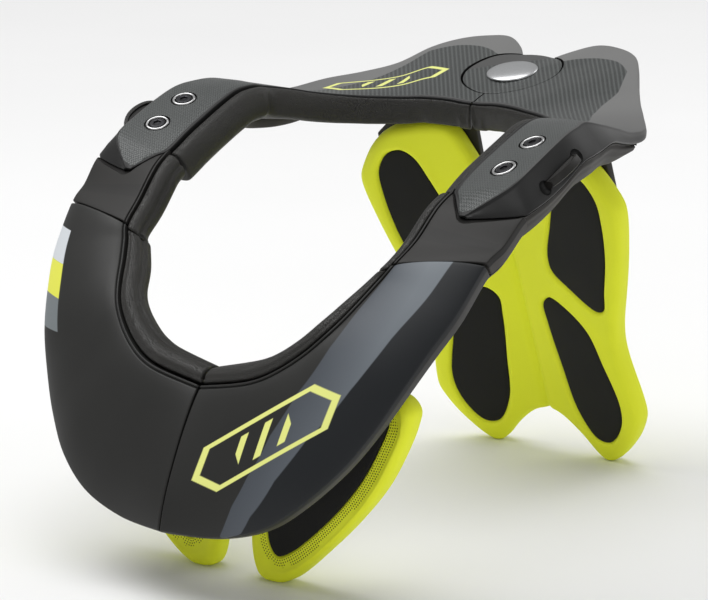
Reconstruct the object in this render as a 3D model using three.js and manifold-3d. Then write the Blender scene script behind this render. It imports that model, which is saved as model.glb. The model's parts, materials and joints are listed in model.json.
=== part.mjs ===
// Motocross neck brace, standing on the tips of its chest pads and its back pad.
// Millimetres, +Z up. The wearer faces -Y and the wearer's left side is +X.
// The left half is modelled and the right half is its mirror image.
import * as THREE from "three";
import { mergeVertices } from "three/addons/utils/BufferGeometryUtils.js";
import Module from "manifold-3d";

const wasm = await Module();
wasm.setup();

// Main sizes of the ring round the neck, measured from the neck's axis and up from the table.
const neckHalf = 93.5; // half the neck opening between the hard inner edges
const ringHalf = 139; // half the width over the arms
const frontReach = 153; // to the lower front edge of the chest apron
const rearReach = 203.5; // to the tips of the rear wings
const crestHeight = 228; // table to the top of the arms
const frontDrop = 191; // from the top of the arms down to the apron's lower edge
const wingRise = 14; // from the top of the arms up to the wing tips

// Walls and clearances.
const shellWall = 3;
const shellCrown = 4; // bulge of the front shell between its edges
const linkCrown = 1.4; // bulge of the side link
const shellRim = 9; // depth of the turned-down outer edge
const shellLip = 5; // depth of the turned-down inner edge
const plateWall = 5; // arm and rear wing
const linerDeep = 7; // stiffener under the front shell
const housingDeep = 13; // how far the arm housing shows under the arm
const gap = 0.35; // between pieces that touch
const linerClear = 1; // between a stiffener or housing and the curved cover over it
const seamGap = 0.6; // between the two halves
const beyond = 2 * crestHeight; // cutting boxes reach past everything

// Softened edges of the covers.
const innerSoft = 1.2; // rounding of a cover's inner edge
const rimSoft = 1.5; // rounding of its outer edge
const rimFall = 3; // how far down that rounding ends
const rimDraft = 0.4; // the turned-down rim leans in this much
const armCrown = 0.6; // bulge of the arm's top
const linerStep = 2; // the stiffener's foot is this much narrower than the rim
const housingInset = 4; // the housing's inner wall behind the arm's turned-down edge

// Foam collar along the inner edge.
const foamProud = 13; // how far it stands into the opening
const foamDeep = 19;
const foamClear = 1; // between the roll and the hard edge
const foamJoint = 0.3; // of a row: the side roll starts this far before the side link
const foamStep = 0.06; // of a row, between the front and the side roll
const foamSideEnd = 11.7; // row where the side roll ends
const foamRearStart = 2.95; // row of the arm where the rear roll starts
const foamRearTrim = 0.45; // of a row, short of the arm's end at the pivot

// Rear pivot: the two halves turn about it.
const pivotInset = 45; // pivot's centre ahead of the wing tips
const pivotReach = rearReach - pivotInset;
const pivotDrop = 1; // pivot face below the top of the arms
const pivotTilt = THREE.MathUtils.degToRad(13.5);
const discRadius = 28;
const discThick = 3.6;
const hubRadius = 37;
const hubThick = 4;
const badgeRadius = 14.5;
const badgeDome = 2.6;
const badgeRim = 0.6;
const discProud = 0.2; // the disc stands this much above the wings
const hubClear = 0.6; // round the hub and over it
const bridgeFront = -24; // the bridge's bar, along the pivot's face from its centre
const bridgeRear = 2;
const roundSides = 32;
const ringSides = 20;
const screwSides = 12;

// Arm screws and release lever.
const washerRadius = 5.8;
const washerBore = 4.2;
const screwRadius = 3.9;
const socketRadius = 2;
const screwSoft = 0.5; // rounding of the screw's head
const headProud = 0.2; // the head and the ring stand this much out of the recess
const recessDeep = 1.6;
const leverLength = 29;
const leverReach = 8;
const leverThick = 4.4;
const leverPinInset = 1; // lever axis outside the arm's side wall
const leverEnd = 1; // its barrel is this much shorter than its slot at each end
const leverShare = 0.7; // of the side wall, down to the lever's axis

// Back pad: leaning butterfly of two flat halves that meet at the spine.
const backHalf = 90;
const backThick = 13;
const backLean = Math.atan(0.4); // from upright, foot rearwards
const backWrap = THREE.MathUtils.degToRad(8.3); // each half turned forwards
const backTopDrop = 26; // below the top of the arms
const footPress = 1.4; // how far the feet are pressed flat on the table
const backLength = (crestHeight - backTopDrop) / Math.cos(backLean) + footPress;
const backSet = 30.5; // the face at its top ahead of the pivot's centre, along the spine
const backReach = pivotReach - backSet;
const insertThick = 3.2;
const pocketDeep = 2.6;
const pocketOpen = 20; // the pocket's cutter stands this far out of the face
const spineGroove = 1.5;
const edgeRound = 4;
const bridgeHalf = 60;
const bridgeThick = 5;
const strutThick = 4.5;
const strutInner = 11;
const strutOuter = 76;
const strutLength = 62;
const strutCorner = 16; // cut off its lower outer corner
const strutRise = 1.2; // above the pad's top, up to the bridge

// Chest pads.
const chestHalf = 112; // spine line to the outer corner
const chestCover = 73; // how far the pads reach up behind the apron
const chestTall = crestHeight - frontDrop + chestCover;
const chestThick = 13;
const chestInset = 66; // the pads' middle plane behind the apron's lower edge
const chestSet = frontReach - chestInset;
const chestPanel = 3; // the panel on its front
const bracketSet = 0.85; // bracket below the stiffener, which bulges towards it
const bracketShift = 4; // the bracket's foot nearer to the spine
const bracketFall = 12; // and lower than its head
const bracketTaper = 0.35; // share by which its foot is smaller

// Ring surface from the front seam (row 0) to the end of the side link (row 12).
// inX is a share of neckHalf, outX of ringHalf, inY and outY of frontReach,
// inDrop and outDrop of frontDrop below the top of the arms.
const bandRows = [
  { inX: 0, inY: -0.784, inDrop: 0.644, outX: 0, outY: -1, outDrop: 1 },
  { inX: 0.257, inY: -0.791, inDrop: 0.618, outX: 0.216, outY: -0.961, outDrop: 0.998 },
  { inX: 0.396, inY: -0.781, inDrop: 0.597, outX: 0.41, outY: -0.935, outDrop: 0.955 },
  { inX: 0.513, inY: -0.758, inDrop: 0.565, outX: 0.554, outY: -0.895, outDrop: 0.88 },
  { inX: 0.62, inY: -0.725, inDrop: 0.524, outX: 0.669, outY: -0.83, outDrop: 0.791 },
  { inX: 0.706, inY: -0.686, inDrop: 0.479, outX: 0.755, outY: -0.768, outDrop: 0.696 },
  { inX: 0.77, inY: -0.634, inDrop: 0.435, outX: 0.827, outY: -0.706, outDrop: 0.592 },
  { inX: 0.824, inY: -0.575, inDrop: 0.387, outX: 0.885, outY: -0.627, outDrop: 0.492 },
  { inX: 0.877, inY: -0.523, inDrop: 0.34, outX: 0.935, outY: -0.536, outDrop: 0.398 },
  { inX: 0.919, inY: -0.486, inDrop: 0.303, outX: 0.965, outY: -0.41, outDrop: 0.282 },
  { inX: 0.952, inY: -0.392, inDrop: 0.249, outX: 0.982, outY: -0.327, outDrop: 0.241 },
  { inX: 0.973, inY: -0.288, inDrop: 0.173, outX: 0.996, outY: -0.248, outDrop: 0.183 },
  { inX: 0.989, inY: -0.196, inDrop: 0.134, outX: 1, outY: -0.17, outDrop: 0.152 },
];
const linkStart = 9; // row where the front shell ends and the side link starts

// Arm and rear wing, from the arm's pointed end round to the pivot.
// On the arm each W is a share of the way out from neckHalf to ringHalf. On the wing inX is a
// share of neckHalf, topX and lowX of ringHalf. Each Y is a share of frontReach ahead of the
// neck axis and of rearReach behind it. Each Drop is a share of frontDrop on the arm and of
// wingRise on the wing, below the top of the arms.
const armRows = [
  { inW: 0.286, inY: -0.305, inDrop: 0.186, topW: 0.352, topY: -0.305, topDrop: 0.185,
    lowW: 0.386, lowY: -0.303, lowDrop: 0.191 },
  { inW: 0.164, inY: -0.268, inDrop: 0.165, topW: 0.539, topY: -0.271, topDrop: 0.152,
    lowW: 0.737, lowY: -0.268, lowDrop: 0.183 },
  { inW: 0.066, inY: -0.235, inDrop: 0.148, topW: 0.691, topY: -0.235, topDrop: 0.123,
    lowW: 0.966, lowY: -0.235, lowDrop: 0.175 },
  { inW: -0.014, inY: -0.199, inDrop: 0.136, topW: 0.768, topY: -0.193, topDrop: 0.1,
    lowW: 1.006, lowY: -0.196, lowDrop: 0.166 },
  { inW: -0.018, inY: -0.098, inDrop: 0.094, topW: 0.78, topY: -0.092, topDrop: 0.065,
    lowW: 1, lowY: -0.098, lowDrop: 0.147 },
  { inW: -0.008, inY: 0.01, inDrop: 0.056, topW: 0.777, topY: 0.01, topDrop: 0.031,
    lowW: 0.966, lowY: 0.01, lowDrop: 0.12 },
  { inW: 0, inY: 0.084, inDrop: 0.025, topW: 0.759, topY: 0.084, topDrop: 0.005,
    lowW: 0.979, lowY: 0.088, lowDrop: 0.076 },
  { inW: -0.004, inY: 0.143, inDrop: 0.005, topW: 0.713, topY: 0.147, topDrop: -0.004,
    lowW: 0.933, lowY: 0.157, lowDrop: 0.068 },
  { inW: -0.033, inY: 0.206, inDrop: 0, topW: 0.636, topY: 0.211, topDrop: -0.005,
    lowW: 0.835, lowY: 0.226, lowDrop: 0.068 },
];
const wingRows = [
  { inX: 1, inY: 0.265, inDrop: 0.16, topX: 0.874, topY: 0.295, topDrop: 0.21,
    lowX: 0.914, lowY: 0.314, lowDrop: 0.86 },
  { inX: 0.93, inY: 0.324, inDrop: 0.31, topX: 0.86, topY: 0.383, topDrop: 0.54,
    lowX: 0.885, lowY: 0.398, lowDrop: 1.11 },
  { inX: 0.856, inY: 0.378, inDrop: 0.5, topX: 0.851, topY: 0.462, topDrop: 0.84,
    lowX: 0.863, lowY: 0.472, lowDrop: 1.29 },
  { inX: 0.77, inY: 0.437, inDrop: 0.66, topX: 0.842, topY: 0.536, topDrop: 0.86,
    lowX: 0.845, lowY: 0.541, lowDrop: 1.25 },
  { inX: 0.663, inY: 0.491, inDrop: 0.77, topX: 0.763, topY: 0.614, topDrop: 0.57,
    lowX: 0.764, lowY: 0.618, lowDrop: 0.96 },
  { inX: 0.535, inY: 0.531, inDrop: 0.79, topX: 0.669, topY: 0.703, topDrop: 0.36,
    lowX: 0.67, lowY: 0.706, lowDrop: 0.75 },
  { inX: 0.428, inY: 0.547, inDrop: 0.76, topX: 0.583, topY: 0.791, topDrop: 0.07,
    lowX: 0.583, lowY: 0.794, lowDrop: 0.46 },
  { inX: 0.321, inY: 0.558, inDrop: 0.71, topX: 0.504, topY: 0.875, topDrop: -0.5,
    lowX: 0.504, lowY: 0.877, lowDrop: -0.1 },
  { inX: 0.214, inY: 0.57, inDrop: 0.71, topX: 0.424, topY: 0.944, topDrop: -0.81,
    lowX: 0.423, lowY: 0.946, lowDrop: -0.42 },
  { inX: 0.14, inY: 0.577, inDrop: 0.74, topX: 0.324, topY: 0.983, topDrop: -0.96,
    lowX: 0.322, lowY: 0.984, lowDrop: -0.58 },
  { inX: 0.09, inY: 0.579, inDrop: 0.77, topX: 0.216, topY: 0.983, topDrop: -1,
    lowX: 0.214, lowY: 0.982, lowDrop: -0.62 },
  { inX: 0.04, inY: 0.58, inDrop: 0.79, topX: 0.118, topY: 0.94, topDrop: -0.7,
    lowX: 0.117, lowY: 0.938, lowDrop: -0.32 },
  { inX: -0.03, inY: 0.58, inDrop: 0.79, topX: 0.04, topY: 0.87, topDrop: -0.3,
    lowX: 0.04, lowY: 0.869, lowDrop: 0.1 },
];

// Back pad outline of one half: across is a share of backHalf, down of backLength.
const backWidths = [
  { down: 0, across: 0.98 },
  { down: 0.2, across: 0.98 },
  { down: 0.345, across: 0.9 },
  { down: 0.46, across: 0.815 },
  { down: 0.56, across: 0.735 },
  { down: 0.63, across: 0.722 },
  { down: 0.71, across: 0.755 },
  { down: 0.79, across: 0.79 },
  { down: 1, across: 0.79 },
];
// Upper and lower ends of the pad at a share of its width out from the spine.
const backEnds = [
  { out: 0, top: 0.235, foot: 0.872 },
  { out: 0.07, top: 0.185, foot: 0.874 },
  { out: 0.14, top: 0.1, foot: 0.882 },
  { out: 0.21, top: 0.015, foot: 0.9 },
  { out: 0.32, top: 0, foot: 0.93 },
  { out: 0.44, top: 0.004, foot: 0.978 },
  { out: 0.55, top: 0.012, foot: 1 },
  { out: 0.68, top: 0.022, foot: 0.972 },
  { out: 0.8, top: 0.05, foot: 0.93 },
  { out: 0.91, top: 0.1, foot: 0.885 },
  { out: 1, top: 0.17, foot: 0.82 },
];
// Black inserts of one half: across is a share of backHalf, down of backLength.
const upperInsert = [
  { across: 0.62, down: 0.08 },
  { across: 0.73, down: 0.092 },
  { across: 0.82, down: 0.145 },
  { across: 0.83, down: 0.22 },
  { across: 0.8, down: 0.32 },
  { across: 0.735, down: 0.42 },
  { across: 0.685, down: 0.492 },
  { across: 0.62, down: 0.5 },
  { across: 0.42, down: 0.447 },
  { across: 0.31, down: 0.405 },
  { across: 0.3, down: 0.36 },
  { across: 0.38, down: 0.26 },
  { across: 0.46, down: 0.17 },
  { across: 0.54, down: 0.1 },
];
const lowerInsert = [
  { across: 0.17, down: 0.515 },
  { across: 0.25, down: 0.49 },
  { across: 0.37, down: 0.513 },
  { across: 0.51, down: 0.57 },
  { across: 0.58, down: 0.66 },
  { across: 0.655, down: 0.79 },
  { across: 0.61, down: 0.868 },
  { across: 0.49, down: 0.925 },
  { across: 0.38, down: 0.922 },
  { across: 0.265, down: 0.845 },
  { across: 0.21, down: 0.71 },
  { across: 0.17, down: 0.58 },
];
// Chest pad of one half: across is a share of chestHalf, up a share of chestTall from the table.
const chestOutline = [
  { across: 0.11, up: 0.06 },
  { across: 0.145, up: 0.008 },
  { across: 0.23, up: -0.008 },
  { across: 0.32, up: 0.025 },
  { across: 0.53, up: 0.21 },
  { across: 0.69, up: 0.375 },
  { across: 0.83, up: 0.55 },
  { across: 0.92, up: 0.71 },
  { across: 0.98, up: 0.85 },
  { across: 0.995, up: 0.93 },
  { across: 0.95, up: 0.985 },
  { across: 0.87, up: 1 },
  { across: 0.66, up: 0.94 },
  { across: 0.44, up: 0.8 },
  { across: 0.25, up: 0.6 },
  { across: 0.13, up: 0.38 },
  { across: 0.09, up: 0.2 },
];

// Black panel on the front of the chest pad, in the same shares.
const panelOutline = [
  { across: 0.857, up: 0.927 },
  { across: 0.875, up: 0.873 },
  { across: 0.812, up: 0.718 },
  { across: 0.723, up: 0.564 },
  { across: 0.607, up: 0.418 },
  { across: 0.464, up: 0.273 },
  { across: 0.321, up: 0.155 },
  { across: 0.25, up: 0.127 },
  { across: 0.205, up: 0.18 },
  { across: 0.196, up: 0.327 },
  { across: 0.241, up: 0.49 },
  { across: 0.357, up: 0.673 },
  { across: 0.536, up: 0.8 },
  { across: 0.732, up: 0.89 },
];

const materials = {
  shell: new THREE.MeshStandardMaterial({ color: 0x3e3e3c, roughness: 0.45, metalness: 0 }),
  link: new THREE.MeshStandardMaterial({ color: 0x33322f, roughness: 0.55, metalness: 0 }),
  liner: new THREE.MeshStandardMaterial({ color: 0x45423f, roughness: 0.6, metalness: 0 }),
  carbon: new THREE.MeshStandardMaterial({ color: 0x5f6362, roughness: 0.35, metalness: 0.1 }),
  foam: new THREE.MeshStandardMaterial({ color: 0x32302c, roughness: 0.8, metalness: 0 }),
  yellow: new THREE.MeshStandardMaterial({ color: 0xd4de32, roughness: 0.6, metalness: 0 }),
  insert: new THREE.MeshStandardMaterial({ color: 0x20201e, roughness: 0.75, metalness: 0 }),
  chrome: new THREE.MeshStandardMaterial({ color: 0xc8c8c8, roughness: 0.2, metalness: 1 }),
  steel: new THREE.MeshStandardMaterial({ color: 0x2a2a2c, roughness: 0.4, metalness: 0.8 }),
  badge: new THREE.MeshStandardMaterial({ color: 0xb4b6b8, roughness: 0.3, metalness: 0.7 }),
};

const vec = (x, y, z) => new THREE.Vector3(x, y, z);
const move = (point, direction, distance) => point.clone().addScaledVector(direction, distance);
const lengthwise = (share) => share * (share < 0 ? frontReach : rearReach);

// The value of a table's column between two of its rows, on a smooth curve.
function smooth(rows, column, t) {
  const last = rows.length - 1;
  const i = Math.min(Math.max(Math.floor(t), 0), last - 1);
  const f = t - i;
  const [a, b, c, d] = [i - 1, i, i + 1, i + 2].map((k) => rows[Math.min(Math.max(k, 0), last)][column]);
  return b + 0.5 * f * (c - a + f * (2 * a - 5 * b + 4 * c - d + f * (3 * (b - c) + d - a)));
}

// The value of a column where another column has the given value, on straight lines.
function lookUp(rows, key, value, column) {
  let i = 1;
  while (i < rows.length - 1 && rows[i][key] < value) i += 1;
  const [a, b] = [rows[i - 1], rows[i]];
  const f = (value - a[key]) / (b[key] - a[key]);
  return a[column] + (b[column] - a[column]) * Math.min(Math.max(f, 0), 1);
}

// A closed solid through rings of as many points each, with flat ends.
function loft(rings) {
  const count = rings[0].length;
  const positions = rings.flat().flatMap((p) => [p.x, p.y, p.z]);
  const index = [];
  for (let r = 0; r < rings.length - 1; r += 1) {
    for (let k = 0; k < count; k += 1) {
      const a = r * count + k;
      const b = r * count + ((k + 1) % count);
      index.push(a, b, b + count, a, b + count, a + count);
    }
  }
  const capOf = (ring) => {
    const axis = ring.reduce((sum, p, k) => sum.add(p.clone().cross(ring[(k + 1) % count])), vec(0, 0, 0));
    const side = ring[1].clone().sub(ring[0]).normalize();
    const up = axis.normalize().clone().cross(side);
    const flat = ring.map((p) => new THREE.Vector2(p.dot(side), p.dot(up)));
    return THREE.ShapeUtils.triangulateShape(flat, []);
  };
  const base = (rings.length - 1) * count;
  for (const [a, b, c] of capOf(rings[0])) index.push(c, b, a);
  for (const [a, b, c] of capOf(rings[rings.length - 1])) index.push(base + a, base + b, base + c);
  const geometry = new THREE.BufferGeometry();
  geometry.setAttribute("position", new THREE.Float32BufferAttribute(positions, 3));
  geometry.setIndex(index);
  return faceOut(geometry);
}

function volumeOf(geometry) {
  const p = geometry.getAttribute("position");
  const [a, b, c] = [vec(), vec(), vec()];
  let six = 0;
  for (let i = 0; i < geometry.index.count; i += 3) {
    a.fromBufferAttribute(p, geometry.index.getX(i));
    b.fromBufferAttribute(p, geometry.index.getX(i + 1));
    c.fromBufferAttribute(p, geometry.index.getX(i + 2));
    six += a.dot(b.cross(c));
  }
  return six / 6;
}

function flip(geometry) {
  const index = Array.from(geometry.index.array);
  for (let i = 0; i < index.length; i += 3) [index[i + 1], index[i + 2]] = [index[i + 2], index[i + 1]];
  geometry.setIndex(index);
  return geometry;
}

const faceOut = (geometry) => (volumeOf(geometry) < 0 ? flip(geometry) : geometry);

// Only positions are kept, so that corners shared by faces are one vertex.
function bare(geometry) {
  const plain = geometry.clone();
  plain.deleteAttribute("normal");
  plain.deleteAttribute("uv");
  return faceOut(mergeVertices(plain, 1e-3));
}

function toSolid(geometry) {
  const plain = bare(geometry);
  return new wasm.Manifold(
    new wasm.Mesh({
      numProp: 3,
      vertProperties: new Float32Array(plain.getAttribute("position").array),
      triVerts: new Uint32Array(plain.index.array),
    }),
  );
}

function fromSolid(solid) {
  const mesh = solid.getMesh();
  const geometry = new THREE.BufferGeometry();
  geometry.setAttribute("position", new THREE.BufferAttribute(new Float32Array(mesh.vertProperties), 3));
  geometry.setIndex(Array.from(mesh.triVerts));
  return geometry;
}

function cutAway(geometry, ...tools) {
  return fromSolid(tools.reduce((solid, tool) => solid.subtract(toSolid(tool)), toSolid(geometry)));
}

function joined(...geometries) {
  return fromSolid(geometries.map(toSolid).reduce((a, b) => a.add(b)));
}

function mirrored(geometry) {
  const copy = bare(geometry);
  copy.applyMatrix4(new THREE.Matrix4().makeScale(-1, 1, 1));
  return flip(copy);
}

function box(low, high) {
  const size = high.clone().sub(low);
  const middle = low.clone().add(high).multiplyScalar(0.5);
  return new THREE.BoxGeometry(size.x, size.y, size.z).translate(middle.x, middle.y, middle.z);
}

// A frame of directions: x, y and z are turned onto the three given ones, and the origin is moved.
function place(geometry, origin, x, y, z) {
  const turned = geometry.clone();
  return turned.applyMatrix4(new THREE.Matrix4().makeBasis(x, y, z).setPosition(origin));
}

// The ring surface of the front shell and the side link.
function bandEdges(t) {
  const value = (column) => smooth(bandRows, column, t);
  const height = (column) => crestHeight - value(column) * frontDrop;
  return {
    inner: vec(value("inX") * neckHalf, value("inY") * frontReach, height("inDrop")),
    outer: vec(value("outX") * ringHalf, value("outY") * frontReach, height("outDrop")),
  };
}

function surfaceFrame(edges, t) {
  const step = 0.05;
  const here = edges(t);
  const middle = (s) => edges(s).inner.add(edges(s).outer);
  const along = middle(t + step).sub(middle(t - step)).normalize();
  const across = here.outer.clone().sub(here.inner);
  const width = across.length();
  across.normalize();
  const normal = across.clone().cross(along).normalize();
  return { inner: here.inner, width, across, normal, along };
}

// A point at a share of the width plus an offset, and a height off the surface.
function bandPoint(t, share, offset, height) {
  const frame = surfaceFrame(bandEdges, t);
  return move(move(frame.inner, frame.across, share * frame.width + offset), frame.normal, height);
}

// Outline of a moulded cover: crowned top, turned-down lips, open underneath.
const coverOutline = [
  { share: 0, offset: 0, height: -shellLip },
  { share: 0, offset: 0, height: -innerSoft },
  { share: 0, offset: innerSoft, height: 0 },
  { share: 0.3, offset: 0, height: 0.8 * shellCrown },
  { share: 0.6, offset: 0, height: shellCrown },
  { share: 0.85, offset: 0, height: 0.6 * shellCrown },
  { share: 1, offset: -rimSoft, height: -rimSoft / 3 },
  { share: 1, offset: 0, height: -rimFall },
  { share: 1, offset: -rimDraft, height: -shellRim },
  { share: 1, offset: -shellWall, height: -shellRim },
  { share: 1, offset: -shellWall, height: -shellWall },
  { share: 0.6, offset: 0, height: shellCrown - shellWall },
  { share: 0.3, offset: 0, height: 0.8 * shellCrown - shellWall },
  { share: 0, offset: shellWall, height: -shellWall },
  { share: 0, offset: shellWall, height: -shellLip },
];
const linerOutline = [
  { share: 0, offset: shellWall + gap, height: -shellWall - gap },
  { share: 0.3, offset: 0, height: linkCrown - shellWall - linerClear },
  { share: 0.6, offset: 0, height: linkCrown - shellWall - linerClear },
  { share: 1, offset: -shellWall - linerClear, height: -shellWall - linerClear },
  { share: 1, offset: -shellWall - linerClear, height: -shellRim - linerClear },
  { share: 1, offset: -rimSoft, height: -shellRim - linerClear },
  { share: 1, offset: -rimSoft - linerStep, height: -shellRim - linerStep - linerClear },
  { share: 0.7, offset: 0, height: -linerDeep },
  { share: 0.3, offset: 0, height: -linerDeep },
  { share: 0, offset: shellWall + gap, height: -linerDeep },
];

// A stretch of the ring between two ends, each a row number for a share of the width.
function bandStretch(outline, startAt, endAt, steps) {
  const rings = [];
  for (let i = 0; i <= steps; i += 1) {
    rings.push(
      outline.map(({ share, offset, height }) => {
        const width = surfaceFrame(bandEdges, startAt(share)).width;
        const across = share + offset / width;
        const start = startAt(across);
        const t = start + ((endAt(across) - start) * i) / steps;
        return bandPoint(t, share, offset, height);
      }),
    );
  }
  return rings;
}

const seamSide = (rings, ring) => rings[ring].forEach((p) => (p.x = seamGap / 2));
const rowGap = 0.012; // a share of a row, about the gap between pieces

function frontShell() {
  const rings = bandStretch(coverOutline, () => 0, () => linkStart - rowGap, 14);
  seamSide(rings, 0);
  return loft(rings);
}

// The side link ends in the notch that takes the arm's pointed end: rows at its inner edge, at
// the notch's bottom and at its outer edge.
const notchShare = 0.33;
const notchRows = { inner: 11.53, bottom: 10.4, outer: 10.92 };
function linkEnd(share) {
  const { inner, bottom, outer } = notchRows;
  if (share < notchShare) return THREE.MathUtils.lerp(inner, bottom, share / notchShare);
  return THREE.MathUtils.lerp(bottom, outer, (share - notchShare) / (1 - notchShare));
}

const linkOutline = [
  { share: 0, offset: 0, height: -shellLip },
  { share: 0, offset: 0, height: -innerSoft },
  { share: 0, offset: innerSoft, height: 0 },
  { share: notchShare, offset: 0, height: linkCrown },
  { share: 0.66, offset: 0, height: linkCrown },
  { share: 1, offset: -rimSoft, height: -rimSoft / 3 },
  { share: 1, offset: 0, height: -rimFall },
  { share: 1, offset: -rimDraft, height: -shellRim },
  { share: 1, offset: -shellWall, height: -shellRim },
  { share: 1, offset: -shellWall, height: -shellWall },
  { share: 0.66, offset: 0, height: linkCrown - shellWall },
  { share: notchShare, offset: 0, height: linkCrown - shellWall },
  { share: 0, offset: shellWall, height: -shellWall },
  { share: 0, offset: shellWall, height: -shellLip },
];
const sideLink = () => loft(bandStretch(linkOutline, () => linkStart + rowGap, linkEnd, 4));

function shellLiner() {
  const rings = bandStretch(linerOutline, () => 0, () => notchRows.bottom, 14);
  seamSide(rings, 0);
  return loft(rings);
}

// The arm and the rear wing: inner edge, upper outer edge and lower outer edge.
const armX = (share) => THREE.MathUtils.lerp(neckHalf, ringHalf, share);
const heights = (row, drop) => ({
  inY: lengthwise(row.inY),
  inZ: crestHeight - row.inDrop * drop,
  topY: lengthwise(row.topY),
  topZ: crestHeight - row.topDrop * drop,
  lowY: lengthwise(row.lowY),
  lowZ: crestHeight - row.lowDrop * drop,
});
const frameRows = [
  ...armRows.map((row) => ({
    inX: armX(row.inW),
    topX: armX(row.topW),
    lowX: armX(row.lowW),
    ...heights(row, frontDrop),
  })),
  ...wingRows.map((row) => ({
    inX: row.inX * neckHalf,
    topX: row.topX * ringHalf,
    lowX: row.lowX * ringHalf,
    ...heights(row, wingRise),
  })),
];
const armEnd = armRows.length - 1;
const frameEnd = frameRows.length - 1;

function frameEdges(t) {
  const value = (column) => smooth(frameRows, column, t);
  return {
    inner: vec(value("inX"), value("inY"), value("inZ")),
    outer: vec(value("topX"), value("topY"), value("topZ")),
    low: vec(value("lowX"), value("lowY"), value("lowZ")),
  };
}

function frameRing(t) {
  const { inner, width, across, normal } = surfaceFrame(frameEdges, t);
  const { outer, low } = frameEdges(t);
  const thin = Math.min(1, 0.35 + t * 0.3); // the pointed end is thinner
  const wall = plateWall * thin;
  const wallIn = Math.min(shellWall, width * 0.3);
  const point = (from, offset, height) => move(move(from, across, offset), normal, height);
  const side = low.clone().sub(outer);
  const sideOut = side.clone().sub(across.clone().multiplyScalar(side.dot(across))).length();
  const lowInner = move(low, across, -shellWall * thin);
  return [
    point(inner, 0, -shellLip * thin),
    point(inner, 0, -1),
    point(inner, Math.min(1, width * 0.1), 0),
    point(inner, width * 0.5, armCrown * thin),
    point(outer, -Math.min(rimSoft, width * 0.1), 0),
    point(outer, rimDraft, -Math.min(1, sideOut * 0.2)),
    low,
    lowInner,
    point(outer, -Math.min(shellWall, width * 0.2), -Math.min(wall, sideOut * 0.9)),
    point(inner, width * 0.5, -wall),
    point(inner, wallIn, -wall),
  ];
}

const pivotCentre = vec(0, pivotReach, crestHeight - pivotDrop);
const pivotAxis = vec(0, -Math.sin(pivotTilt), Math.cos(pivotTilt));
const pivotRear = vec(0, Math.cos(pivotTilt), Math.sin(pivotTilt));
const sideways = vec(1, 0, 0);

// A round solid about the pivot's axis, between two heights off the plate's face.
function aboutPivot(radius, low, high, sides) {
  const drum = new THREE.CylinderGeometry(radius, radius, high - low, sides);
  drum.rotateX(Math.PI / 2).translate(0, 0, (low + high) / 2);
  return place(drum, pivotCentre, sideways, pivotRear, pivotAxis);
}

// A point of the arm's top at a distance behind the neck axis and a share of its width.
function armSpot(lengthShare, share) {
  const target = lengthwise(lengthShare);
  let t = 0;
  while (t < armEnd && frameEdges(t).inner.y < target) t += 0.02;
  const frame = surfaceFrame(frameEdges, t);
  const spot = move(frame.inner, frame.across, share * frame.width);
  const lift = armCrown * Math.min(share, 1 - share) * 2;
  return { ...frame, spot: move(spot, frame.normal, lift), t };
}
const screwSpots = [
  { name: "front", ...armSpot(-0.112, 0.55) },
  { name: "rear", ...armSpot(0.035, 0.575) },
];

function atScrew(geometry, { spot, across, along, normal }) {
  const forward = normal.clone().cross(across);
  return place(geometry, spot, across, forward, normal);
}

// The lever's axis runs along the arm, just outside its side wall.
const leverSpan = [-0.113, 0.079].map((share) => {
  const { t } = armSpot(share, 0.5);
  const { outer, low } = frameEdges(t);
  return outer.lerp(low, leverShare);
});
const leverAlong = leverSpan[1].clone().sub(leverSpan[0]).normalize();
const leverWall = (() => {
  const { outer, low } = frameEdges(armSpot(-0.04, 0.5).t);
  return low.sub(outer).normalize();
})();
const leverOut = leverAlong.clone().cross(leverWall).normalize().negate();
const leverUp = leverOut.clone().cross(leverAlong).normalize();
const leverPin = move(leverSpan[0].clone().lerp(leverSpan[1], 0.5), leverOut, leverPinInset);
const barrelRadius = leverThick / 2;

function leverRod(radius, length) {
  const rod = new THREE.CylinderGeometry(radius, radius, length, screwSides);
  return place(rod, leverPin, leverOut, leverAlong, leverUp);
}

function releaseLever() {
  const half = leverLength / 2 - leverEnd;
  const outline = new THREE.Shape();
  outline.moveTo(0, -half);
  outline.bezierCurveTo(leverReach * 1.3, -half, leverReach * 1.3, half, 0, half);
  outline.closePath();
  const settings = { depth: leverThick, bevelEnabled: false, curveSegments: 10 };
  const tab = new THREE.ExtrudeGeometry(outline, settings).translate(0, 0, -leverThick / 2);
  const placed = place(tab, leverPin, leverOut, leverAlong, leverUp);
  return joined(leverRod(barrelRadius, 2 * half), placed);
}

// What lies past the seam between the two halves.
const seamCut = () => box(vec(-beyond, 0, 0), vec(seamGap / 2, beyond, beyond));

function armFrame() {
  const steps = Math.round(frameEnd * 1.6);
  const rings = [];
  for (let i = 0; i <= steps; i += 1) rings.push(frameRing((frameEnd * i) / steps));
  const tools = [
    aboutPivot(discRadius + gap, -hubRadius, hubRadius, roundSides),
    aboutPivot(hubRadius + hubClear, -hubRadius, -discThick, roundSides),
    seamCut(),
    leverRod(barrelRadius + gap, leverLength),
    ...screwSpots.map((screw) => {
      const radius = washerRadius + gap;
      const bore = new THREE.CylinderGeometry(radius, radius, 2 * radius, ringSides);
      return atScrew(bore.rotateX(Math.PI / 2).translate(0, 0, radius - recessDeep), screw);
    }),
  ];
  return cutAway(loft(rings), ...tools);
}

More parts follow.
